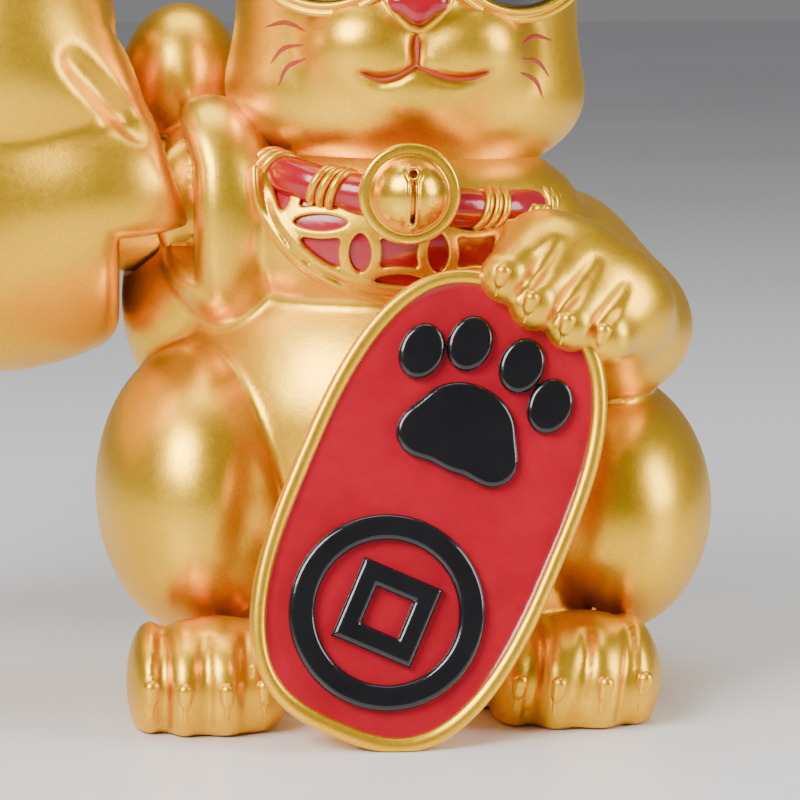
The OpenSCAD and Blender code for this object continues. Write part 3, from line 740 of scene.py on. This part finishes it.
def arm_form():
    lobes = [lobe(*each) for each in ARM_MUSCLES]
    deltoid, biceps, triceps, elbow, fore_out, fore_in, wrist, palm = lobes
    wrap = lobe((-49, -4, 81.5), (17, 17.5, 15.5), (0, -8, 0))
    front_deltoid = lobe((-56, -5, 98.5), (16.5, 14.5, 11.5), (0, 32, 0))
    upper = melt(3.0, biceps, triceps, lobe((-66, 5, 72.5), (31, 22, 21.5), (0, -4, 0)))
    upper = melt(9.0, upper, wrap)
    upper = melt(2.0, upper, melt(5.0, deltoid, front_deltoid))
    upper = melt(4.0, upper, elbow)
    fore = melt(2.0, fore_out, fore_in)
    fore = melt(9, fore, wrist)
    whole = melt(2.5, upper, fore)
    whole = melt(7, whole, palm)
    fingers = []
    for i in range(4):
        rise = 3 * math.sin(math.radians(60 * i))
        fingers.append(limb((-131 + 10 * i, -9, 178 + rise), (-130 + 9.3 * i, -19, 166 + rise), 6.4, 5.6))
    return melt(2.0, whole, melt(1.2, *fingers))


def sector_cut(grow, angles, radii, end_x):
    """A slice of a thick ring round the arm's axle, up to a plane; angles from +Z towards the front."""
    middle, spread = math.radians((angles[0] + angles[1]) / 2), math.radians((angles[1] - angles[0]) / 2)

    def field(p):
        y, z = p[:, 1] - AXLE_Y, p[:, 2] - AXLE_Z
        r = np.sqrt(y * y + z * z)
        angle = np.arctan2(-y, z) - middle
        beyond = (np.abs(angle) - spread) * np.maximum(r, 1)
        return np.maximum.reduce([radii[0] - r, r - radii[1], p[:, 0] - end_x, beyond]) - grow
    return field


def slanted(field, end_x, from_z):
    """The same slice with its end drawn in, more and more, above a height."""
    return lambda p: np.maximum(field(p), p[:, 0] - end_x + 0.33 * np.maximum(p[:, 2] - from_z, 0))


def arm_room(grow):
    """The room in the body for the arm's inner muscle, swept by the swing."""
    end_x = -34
    return slanted(sector_cut(grow, (14, 113), (14, 46), end_x), end_x + grow, 86)


# ---- body, head and arm shells
def shells(kind, outer, form, cavity, low, high, drilled, split_y, body, material):
    """A solid, hollowed, drilled and split into front and rear pieces, for the CAD's own shells."""
    inner = solid(cavity, low, high, CAVITY_STEP, soft=0.4)
    hollowed = cut(outer, [("DIFFERENCE", each) for each in [inner] + drilled])
    front_box = box_solid((-FAR, -FAR, -FAR), (FAR, split_y, FAR))
    rear_box = box_solid((-FAR, split_y + SEAM, -FAR), (FAR, FAR, FAR))
    for name, side in ((kind + "_front", front_box), (kind + "_rear", rear_box)):
        piece = cut(hollowed, [("INTERSECT", side)])
        finished(name, piece, form, body, material, "gold_paint", (name + "_shell",))


def shrunk(field, by):
    """The field's form with a skin so thick taken off."""
    return lambda p: field(p) + by


def x_rod(radius, low, high, count=64):
    """A round rod along X, round the arm's axle."""
    return prism(round_outline((AXLE_Y, AXLE_Z), radius, count), low, high, axis=0)


def make_body(material):
    """The body's two shells; returns the form before the arm's room is cut."""
    plain_form = body_form()
    lines = [groove(plain_form, line, 0.70, 0.40) for line in finger_gaps()]
    toe_lines = [toe_mark(foot, step, 15.0, 1.6) for foot in FEET for step in (-1, 0, 1)]
    lines += [groove(plain_form, line, 0.75, 0.5) for line in toe_lines]
    form = carve(plain_form, 1.0, *lines)
    form = keep(form, half(2, 0.0, above=True))
    cavity = keep(shrunk(body_cavity(), WALL), half(2, -6, above=True))
    door_way = prism(opening_outline(), -5, 2.6, axis=2)
    root_seat, bush_way = x_rod(11.8, -60, -37), x_rod(4.2, -50, -20)
    form_cut = carve(form, 3.5, arm_room(0))
    cavity = carve(cavity, 0.8, arm_room(WALL))
    low, high = (-56, -52, -1), (56, 44, 112)
    shells("body", solid(form_cut, low, high, STEP), form_cut, cavity, low, high,
           [door_way, root_seat, bush_way], SPLIT_Y, "figure", material)
    return form


def body_cavity():
    """The inside of the body, before the wall is taken off: without feet, fingers and tail."""
    return melt(2, TORSO, CHEST, *THIGHS, base_block(), SMALL_FOREARM)


MOUTH_REACH = {1: 11.5, -1: 8.7}      # how far the smile runs to each side
MOUTH_Z = 102.5                       # where its two halves meet
WHISKER_ANGLES = (4, -32, -46)        # degrees from level, running outwards
WHISKER_LEAN = 1.1                    # the head's lean lowers the whiskers at +X and lifts the others


def mouth_lines():
    """The line under the nose and the two sagging halves of the mouth, in x and z."""
    lines = [[(0.2, 107), (0.2, 104.7), (0.1, MOUTH_Z)]]
    for side, reach in MOUTH_REACH.items():
        t = np.linspace(0, 1, 6)
        lines.append(list(zip(side * reach * t, MOUTH_Z - 2.4 * np.sin(0.8 * math.pi * t))))
    return lines


def whisker_lines():
    """Three short bowed whiskers on each cheek, in x and z."""
    lines = []
    for side in (1, -1):
        for i, angle in enumerate(WHISKER_ANGLES):
            a = math.radians(angle)
            start = np.array((16.7 + 0.3 * (i == 1), 106.4 - 2.1 * i - WHISKER_LEAN * side))
            along, up = np.array((math.cos(a), math.sin(a))), np.array((-math.sin(a), math.cos(a)))
            points = [start + along * 6.0 * t + up * 1.0 * math.sin(math.pi * t) for t in (0, 0.5, 1)]
            lines.append([(side * x, z) for x, z in points])
    return lines


def make_head(material):
    """The head's two shells; returns the form without the mouth's lines."""
    form = head_turned(plain_head())
    carved = carve(form, 0.8, *[groove(form, line, 0.75, 0.5) for line in mouth_lines()])
    jaw_room, skull_room = lobe((0, -4, 97), (26.8, 20.8, 12.8)), lobe((0, -2, 110), (25.3, 20.8, 21.8))
    cavity = head_turned(melt(2, jaw_room, skull_room))
    low, high = (-36, -36, 78), (38, 26, 156)
    shells("head", solid(carved, low, high, STEP), carved, cavity, low, high, [], 0.0, "figure", material)
    return form


def make_arm(material):
    """The giant arm's two shells, with a round root and a muscle that runs into the body."""
    whole = arm_form()
    root = x_rod(11, ROOT_FACE_X - 8, -38, 96)
    muscle_end = -34.6
    free = half(0, ROOT_FACE_X)
    muscle = slanted(sector_cut(0, (30, 97.5), (14.6, 45), muscle_end), muscle_end, 76)
    room = lambda p: np.minimum(free(p), muscle(p))
    crease = groove(whole, [(-53, 103), (-48.5, 98), (-43, 91.5)], 1.3, 0.9)
    creased = carve(whole, 3.0, crease)
    form = lambda p: -join(3.2, -creased(p), -room(p))
    low, high = (-144, -32, 46), (-32, 40, 192)
    outer = cut(solid(form, low, high, STEP), [("UNION", root)])
    cavity = keep(shrunk(whole, WALL), half(0, ROOT_FACE_X - WALL))
    root_room, axle_way = x_rod(8.7, -58, -40), x_rod(2.4, -60, -30)
    shells("arm", outer, form, cavity, low, high, [root_room, axle_way], SPLIT_Y, "arm", material)


def make_claws(body, gold):
    """The claws of the feet and the small paw, each a small raised teardrop that points down."""
    claws = []
    marks = [toe_mark(foot, step, 7.8, 3.0) for foot in FEET for step in (-1.3, -0.5, 0.5, 1.4)]
    marks += [[(tip[0] - 1.0, tip[2] + 1.2), (tip[0] - 2.0, tip[2] - 2.6)] for _, tip in FINGERS]
    for mark in marks:
        top, tip = on_skin(body, [mark[0], mark[-1]], out=0.15)
        claws.append(melt(0.5, limb(top, top + (tip - top) * 0.35, 1.25, 1.05), limb(top, tip, 0.9, 0.25)))
    sculpt("claws", melt(0.3, *claws), (-48, -58, 0.6), (40, -30, 76), "figure", gold, "gold_paint",
           ("body_front_shell",), SMALL_STEP, crease=False)


def make_face(head, red, gold, paint):
    """The painted mouth and whiskers, the red nose and the raised edge round it."""
    lines = []
    for line in mouth_lines():
        path = on_skin(head, bend(line, 20), out=-0.30)
        lines.append(tube(path, 0.34 * np.sin(np.linspace(0.5, math.pi - 0.35, len(path))) ** 0.5, 8))
    mesh_object("mouth_paint", *gather(*lines), "figure", paint, "red_enamel")
    lines = []
    for line in whisker_lines():
        path = on_skin(head, bend(line, 14), out=-0.12)
        lines.append(tube(path, 0.42 * np.sin(np.linspace(0.35, math.pi - 0.35, len(path))), 8))
    mesh_object("whisker_paint", *gather(*lines), "figure", paint, "red_enamel")
    tip = melt(1.4, lobe((-1.9, -30.0, 112.2), (2.7, 1.9, 2.0)), lobe((2.3, -30.0, 112.2), (2.7, 1.9, 2.0)),
               lobe((0.2, -30.5, 110.6), (2.0, 1.8, 1.9)))
    sculpt("nose_tip", tip, (-6, -34, 107), (7, -27, 116), "figure", red, "red_enamel",
           ("nose",), SMALL_STEP)
    edge = bend([(-4.6, 113.4), (-3.6, 111.2), (0.2, 107.9), (4.4, 111.0), (5.4, 113.4)], 24)
    mesh_object("nose_edge", *tube(on_skin(head, edge, out=0.15), 0.75, 12), "figure", gold, "gold_paint")


LENS_AT = (14.6, -22.2, 120.8)
LENS_HALF = (11.6, 9.8)
LENS_TURN = 20.0            # degrees each lens faces outwards
LENS_POINTS = 96
RIM_PROFILE = [             # out from the lens's edge, and forwards
    (1.75, -1.6), (1.95, 1.2), (1.80, 2.3), (1.35, 2.75), (0.90, 2.45), (0.70, 2.25),
    (0.50, 2.55), (0.15, 3.05), (-0.30, 2.95), (-0.55, 2.3), (-0.55, -1.6),
]


def on_lens(side, points):
    """From a lens's own frame (across, up, out) to the figure's."""
    turn = math.radians(LENS_TURN) * side
    a, b, c = np.asarray(points, float).T
    p = np.stack([a * math.cos(turn) + c * math.sin(turn), a * math.sin(turn) - c * math.cos(turn), b], 1)
    p += np.array([side * LENS_AT[0], LENS_AT[1], LENS_AT[2]])
    return (p - NECK) @ HEAD_LEAN.T + NECK


def lens_ring(grow, out):
    t = np.linspace(0, 2 * math.pi, LENS_POINTS, endpoint=False)
    half_x, half_z = LENS_HALF[0] + grow, LENS_HALF[1] + grow
    return np.stack([half_x * np.cos(t), half_z * np.sin(t), np.full(LENS_POINTS, out)], 1)


def make_glasses(gold, dark):
    """The two stepped rims with the bridge between, and the two domed lenses."""
    rims, lenses = [], []
    for side in (1, -1):
        rings = [on_lens(side, lens_ring(grow, out)) for grow, out in RIM_PROFILE]
        rims.append((np.concatenate(rings), loft(len(rings), LENS_POINTS, closed=True)))
        flat = lens_ring(-0.4, 0.0)
        rings = []
        for level in np.linspace(0, 1, 14):
            rings.append(on_lens(side, flat * level + [0, 0, 2.0 + 1.7 * (1 - level ** 2)]))
        rings.append(on_lens(side, flat + [0, 0, -1.0]))
        rings.append(on_lens(side, flat * 0.001 + [0, 0, -1.0]))
        faces = [face[::-1] for face in loft(len(rings), LENS_POINTS)]
        lenses.append((np.concatenate(rings), faces))
    bridge = [(-3.4, -28.3, 123.0), (-1.6, -29.6, 124.2), (1.6, -29.6, 124.2), (3.4, -28.3, 123.0)]
    mesh_object("glasses_rims", *gather(*rims, tube(bridge, 1.1, 12)), "figure", gold, "gold_paint",
                ("sunglasses_frame",))
    mesh_object("glasses_lenses", *gather(*lenses), "figure", dark, "dark_lens", ("sunglasses_lenses",))


COLLAR_AT = (0, -4, 83.5)
COLLAR_R = 24.5
COLLAR_TURN = turn_matrix((6, 8, 0))
CORD_R = 3.25
BELL_ANGLE = 270            # where the bell hangs, and so no band
BANDS = [angle for angle in range(0, 360, 30) if angle != BELL_ANGLE]


def on_collar(angle, turn, r):
    """A point r from the collar cord's core: angle round the neck, turn round the cord, in degrees."""
    angle, turn = np.radians(angle), np.radians(turn)
    ring = COLLAR_R + r * np.cos(turn)
    p = np.stack([ring * np.cos(angle), ring * np.sin(angle), r * np.sin(turn)], -1)
    return p @ COLLAR_TURN.T + np.array(COLLAR_AT)


def make_collar(red, gold):
    """The red cord, pinched in at each band, and the three gold strands of each band."""
    count, sides = 360, 28
    rings = []
    for i in range(count):
        angle = 360 * i / count
        near = min(abs((angle - band + 180) % 360 - 180) for band in BANDS)
        r = CORD_R - 0.55 * math.exp(-(near / 5.5) ** 2)
        rings.append(on_collar(np.full(sides, angle), np.arange(sides) * 360 / sides, r))
    faces = [face[::-1] for face in loft(count, sides, closed=True)]
    mesh_object("collar_cord_red", np.concatenate(rings), faces, "figure", red, "red_enamel",
                ("collar_cord",))
    strands = []
    t = np.linspace(0, 1, 40)
    for band in BANDS:
        for lag in (-3.6, 0.0, 3.6):
            path = on_collar(band + lag + (t - 0.5) * 9, -100 + t * 300, 2.80 + 0.35 * np.sin(t * math.pi))
            strands.append(tube(path, 0.70, 10))
    mesh_object("collar_twists", *gather(*strands), "figure", gold, "gold_paint", ("collar_bands",))


BELL_AT = (-1.4, -32.0, 82.8)
BELL_R, BELL_RIM_R = 6.15, 6.9
BELL_HOLE_UP = 3.5                      # the round hole above the slot
BELL_SLOT_TOP, BELL_SLOT_FOOT = 2.6, -4.4
BELL_STUD_UP = -5.0                     # the small stud below the slot
BELL_STEP = 0.2


def make_bell(gold):
    """The bell's front half: a flat rim, a dome, a lipped hole, a lipped slot and a stud."""
    centre = np.array(BELL_AT)

    def bell(p):
        x, out, z = (p - centre).T * [[1], [-1], [1]]
        across = np.sqrt(x ** 2 + z ** 2)
        rim = np.sqrt(np.maximum(np.abs(across - BELL_RIM_R) - 0.25, 0) ** 2 + (out - 1.0) ** 2) - 0.78
        dome = np.sqrt(across ** 2 + ((out - 0.6) * 0.93) ** 2) - BELL_R
        d = join(0.5, rim, dome)
        from_hole = np.sqrt((x - 0.1) ** 2 + (z - BELL_HOLE_UP) ** 2)
        d = join(0.5, d, np.sqrt((from_hole - 0.95) ** 2 + (dome - 0.05) ** 2) - 0.32)
        from_slot = np.abs(x - 0.05)
        past_end = np.maximum(z - BELL_SLOT_TOP, BELL_SLOT_FOOT - z)
        d = join(0.4, d, np.maximum(np.sqrt((from_slot - 0.62) ** 2 + dome ** 2) - 0.25, past_end))
        d = np.maximum(d, -np.maximum(np.maximum(from_slot - 0.33, past_end), -dome - 1.0))
        d = np.maximum(d, -np.maximum(from_hole - 0.6, -dome - 1.2))
        stud = np.sqrt(x ** 2 + (z - BELL_STUD_UP) ** 2 + (dome - 0.1) ** 2) - 0.85
        return np.maximum(join(0.3, d, stud), -out)
    low, high = centre + (-8.6, -8.4, -8.6), centre + (8.6, 0.6, 8.6)
    sculpt("bell_dome", bell, low, high, "figure", gold, "bell_gold", ("bell",), BELL_STEP)


def oval(across, up, centre, half):
    """How far points lie outside an ellipse in their own plane."""
    x, y = (across - centre[0]) / half[0], (up - centre[1]) / half[1]
    near = np.sqrt(x * x + y * y)
    steep = np.sqrt((x / half[0]) ** 2 + (y / half[1]) ** 2)
    return near * (near - 1) / np.maximum(steep, 1e-6)


BIB_AT = (-1.0, 84.5)       # x and z
BIB_HALF = (23.4, 19.2)
LATTICE_AT = (-2.6, 73.2)
LATTICE_PITCH = 12.2        # from ring to ring, across
LATTICE_SQUEEZE = 0.77      # the rings' height against their width


def make_bib(red, gold):
    """A red panel on the chest with a raised gold lattice and a double gold rim."""
    body = chest_form()

    def rim_distance(p):
        return oval(p[:, 0], p[:, 2], BIB_AT, BIB_HALF)

    def limits(p):
        return np.maximum.reduce([p[:, 1] + 8, p[:, 0] - 23, p[:, 2] + 0.14 * p[:, 0] - 83])

    def panel(p):
        skin = body(p)
        return np.maximum.reduce([skin - 0.55, -skin - 0.8, rim_distance(p) + 0.4, limits(p)])

    ring_r = LATTICE_PITCH * 0.7071

    def lattice(p):
        skin = body(p)
        x, z = p[:, 0] - LATTICE_AT[0], (p[:, 2] - LATTICE_AT[1]) / LATTICE_SQUEEZE
        flat = np.full(len(p), FIELD_FAR)
        for i in (-2, -1, 0, 1, 2):
            for j in (-1, 0, 1):
                gap = np.sqrt((x - i * LATTICE_PITCH) ** 2 + (z - j * LATTICE_PITCH) ** 2) - ring_r
                flat = join(1.2, flat, np.abs(gap))
        flat = flat * 0.88
        past_side, past_top = np.maximum(flat - 0.45, 0), np.maximum(np.abs(skin - 0.6) - 0.45, 0)
        edge = rim_distance(p)
        strap = np.maximum(np.sqrt(past_side ** 2 + past_top ** 2) - 0.30, edge + 1.0)
        outer = np.sqrt((edge + 0.05) ** 2 + (skin - 0.55) ** 2) - 0.95
        inner = np.sqrt((edge + 1.90) ** 2 + (skin - 0.80) ** 2) - 0.80
        both = join(0.5, join(0.4, outer, inner), strap)
        return np.maximum(np.maximum(both, limits(p)), -skin - 0.6)

    low, high = (-26, -36, 62), (24, -7, 90)
    sculpt("bib_panel", panel, low, high, "figure", red, "red_enamel", ("bib",), SMALL_STEP * 1.5)
    sculpt("bib_gold", lattice, low, high, "figure", gold, "gold_paint", ("bib_lattice",), SMALL_STEP)


PLAQUE_AT = (0.5, -46.0, 35.4)
PLAQUE_LEAN, PLAQUE_ROLL = turn_matrix((-12.0, 0, 0)), turn_matrix((0, 24.0, 0))
PLAQUE_MATRIX = PLAQUE_LEAN @ PLAQUE_ROLL @ turn_matrix((90, 0, 0))
PLAQUE_HALF = (22.0, 37.5)
PLAQUE_SQUARENESS = 2.8     # 2 would be an ellipse
PLAQUE_POINTS = 288
PLAQUE_TURNS = np.linspace(0, 2 * math.pi, PLAQUE_POINTS, endpoint=False)
FRAME_PROFILE = [           # out from the outline, and forwards
    (0.0, -2.0), (0.0, 0.9), (-0.20, 1.55), (-0.70, 1.95),
    (-1.40, 2.0), (-2.05, 1.75), (-2.40, 1.25), (-2.45, 0.9),
]


def on_plaque(points):
    """From the plaque's own frame (across, up, out) to the figure's."""
    return np.asarray(points, float) @ PLAQUE_MATRIX.T + np.array(PLAQUE_AT)


def plaque_ring(grow):
    """The plaque's squarish oval outline, moved in or out along its normal."""
    power = 2 / PLAQUE_SQUARENESS
    turned = zip(PLAQUE_HALF, (np.cos(PLAQUE_TURNS), np.sin(PLAQUE_TURNS)))
    edge = np.stack([reach * np.sign(c) * np.abs(c) ** power for reach, c in turned], 1)
    along = np.roll(edge, -1, 0) - np.roll(edge, 1, 0)
    across = np.stack([along[:, 1], -along[:, 0]], 1)
    return edge + across / length(across)[:, None] * grow


def ripple(seed, size):
    """A slow uneven wave round the plaque's outline, as hand-finished edges have."""
    rng = np.random.default_rng(seed)
    total = np.zeros(PLAQUE_POINTS)
    for turns in range(2, 12):
        total += rng.normal() * np.cos(turns * PLAQUE_TURNS + rng.uniform(0, 6.3)) / turns
    return total * size


def make_plaque(gold, red):
    """The frame, rounded in front and cut off flat at the floor, and the red field inside it."""
    count = PLAQUE_POINTS
    rings = []
    for index, (grow, out) in enumerate(FRAME_PROFILE):
        ring = plaque_ring(min(grow, -0.02))
        if index > 1:
            ring = ring * (1 + ripple(3 + (index > 4), 0.004)[:, None])
        high = out + (ripple(9, 0.10) if 1 < index < 6 else np.zeros(count))
        rings.append(np.column_stack([ring, np.minimum(high, 2.05)]))
    faces = loft(len(rings), count)
    faces.append(tuple(range(count))[::-1])
    faces.append(tuple(range((len(rings) - 1) * count, len(rings) * count)))
    below_floor = box_solid((-60, -90, -20), (60, 0, 0))
    piece = cut((on_plaque(np.concatenate(rings)), faces), [("DIFFERENCE", below_floor)])
    frame_piece = mesh_object("plaque_frame", *piece, "figure", gold, "gold_paint", ("plaque",))
    frame_piece.data.set_sharp_from_angle(angle=math.radians(50))
    rings = []
    wave = ripple(21, 0.08)
    for level in np.linspace(1, 0.02, 40):
        high = np.full(count, 1.22) if level == 1 else 1.0 + wave * level ** 2
        rings.append(np.column_stack([plaque_ring(-2.25) * level, high]))
    faces = loft(len(rings), count) + [tuple(range((len(rings) - 1) * count, len(rings) * count))]
    mesh_object("plaque_red", on_plaque(np.concatenate(rings)), faces, "figure", red, "red_enamel",
                ("plaque_field",))


PAW_UP, COIN_UP = 13.5, -17     # the emblems' middles, up the plaque from its own
EMBLEM_BACK, EMBLEM_TOP = 0.9, 2.55
EMBLEM_ROUND = 0.85             # the rounding of their edges


def make_emblems(black):
    """The paw print and the square-holed coin, puffed up like thick enamel."""
    def emblem(p):
        x, y = p[:, 0], p[:, 1]
        d = oval(x, y, (0, PAW_UP), (8.0, 7.0))
        for side in (-1, 1):
            d = join(2.0, d, oval(x, y, (side * 5.8, PAW_UP - 3), (4, 4)))
        for angle in (-50, -18, 18, 50):
            a = math.radians(angle)
            d = np.minimum(d, oval(x, y, (14 * math.sin(a), PAW_UP + 13 * math.cos(a)), (3.4, 4.4)))
        from_coin = np.sqrt(x ** 2 + (y - COIN_UP) ** 2)
        d = np.minimum(d, np.abs(from_coin - 13) - 2.0)
        square = np.maximum(np.abs(x), np.abs(y - COIN_UP))
        d = np.minimum(d, np.maximum(square - 6.5, 3.0 - square))
        across, up = d + EMBLEM_ROUND, p[:, 2] - EMBLEM_TOP + EMBLEM_ROUND
        corner = np.sqrt(np.maximum(across, 0) ** 2 + np.maximum(up, 0) ** 2)
        puffed = corner - EMBLEM_ROUND + np.minimum(np.maximum(across, up), 0)
        return np.maximum(puffed, EMBLEM_BACK - p[:, 2])
    points, quads = solid(emblem, (-18, -35, 0.5), (18, 34, 3.2), SMALL_STEP)
    mesh_object("plaque_motifs", on_plaque(points), quads, "figure", black, "black_enamel",
                ("plaque_emblems",))


def make_ears(red):
    """The red inside of each ear, a shallow dish."""
    for side, name in ((1, "ear_red_left"), (-1, "ear_red_right")):
        dish = ear_form(side, 0.0, (17.3, -7.4, 125), (21.4, -3.2, 142.5), (7.4, 2.2), 0.46)
        ear = ear_form(side, -0.9)
        field = head_turned(keep(dish, ear))
        low, high = ((6, -14, 114), (34, 6, 150)) if side > 0 else ((-34, -14, 114), (-6, 6, 150))
        sculpt(name, field, low, high, "figure", red, "red_enamel", ("ear_linings",), SMALL_STEP * 2)


# ---- the scene
# The CAD's own materials: colour, roughness, metallic, grain per metre, change of tone, and bumpiness
CAD_LOOKS = {
    "steel": ((0.60, 0.61, 0.63), 0.28, 1.0, 1400, 0.06),
    "iron_weight": ((0.26, 0.26, 0.27), 0.55, 0.8, 700, 0.2, 0.4),
    "magnet_plating": ((0.62, 0.63, 0.66), 0.2, 1.0, 300, 0.05),
    "bronze_bush": ((0.70, 0.45, 0.18), 0.35, 1.0, 900, 0.1),
    "copper_wire": ((0.80, 0.36, 0.14), 0.3, 1.0, 2500, 0.15, 0.5),
    "black_plastic": ((0.022, 0.022, 0.025), 0.42, 0.0, 1200, 0.2, 0.25),
    "white_plastic": ((0.78, 0.76, 0.70), 0.40, 0.0, 900, 0.05),
    "circuit_green": ((0.02, 0.14, 0.05), 0.35, 0.0, 1800, 0.25, 0.3),
    "soft_pad": ((0.03, 0.03, 0.03), 0.8, 0.0, 2200, 0.2, 0.5),
    "cell_wrap": ((0.02, 0.10, 0.05), 0.25, 0.0, 300, 0.1),
    "red_wire": ((0.45, 0.01, 0.01), 0.35, 0.0, 600, 0.1),
    "black_wire": ((0.015, 0.015, 0.015), 0.35, 0.0, 600, 0.1),
}


def finish_cad_nodes():
    """Gives each CAD node that stays in view or inside its own material."""
    kinds = {name: plain(name, *look) for name, look in CAD_LOOKS.items()}
    slots = {part["node"]: part["material_slot"] for part in frame["record"]["subparts"]}
    for node, thing in NODES.items():
        material = kinds.get(slots[node])
        if material:
            thing.data.materials.clear()
            thing.data.materials.append(material)


make_camera()
make_light_and_floor()
GOLD = gold_paint("gold_paint")
BELL_GOLD = gold_paint("bell_gold", (0.98, 0.57, 0.022), (0.94, 0.51, 0.014), 0.25, 0.6)
RED = enamel("red_enamel", (0.42, 0.001, 0.016), (0.34, 0.001, 0.010), 0.17)
LINE_RED = enamel("line_paint", (0.45, 0.03, 0.015), (0.35, 0.02, 0.01), 0.35, 0.1)
BLACK = enamel("black_enamel", (0.006, 0.006, 0.007), (0.003, 0.003, 0.004), 0.14)
LENS = enamel("dark_lens", (0.030, 0.034, 0.040), (0.016, 0.018, 0.022), 0.12, 0.08)
body = make_body(GOLD)
head = make_head(GOLD)
make_arm(GOLD)
make_claws(body, GOLD)
make_face(head, RED, GOLD, LINE_RED)
make_glasses(GOLD, LENS)
make_collar(RED, GOLD)
make_bell(BELL_GOLD)
make_bib(RED, GOLD)
make_plaque(GOLD, RED)
make_emblems(BLACK)
make_ears(RED)
finish_cad_nodes()
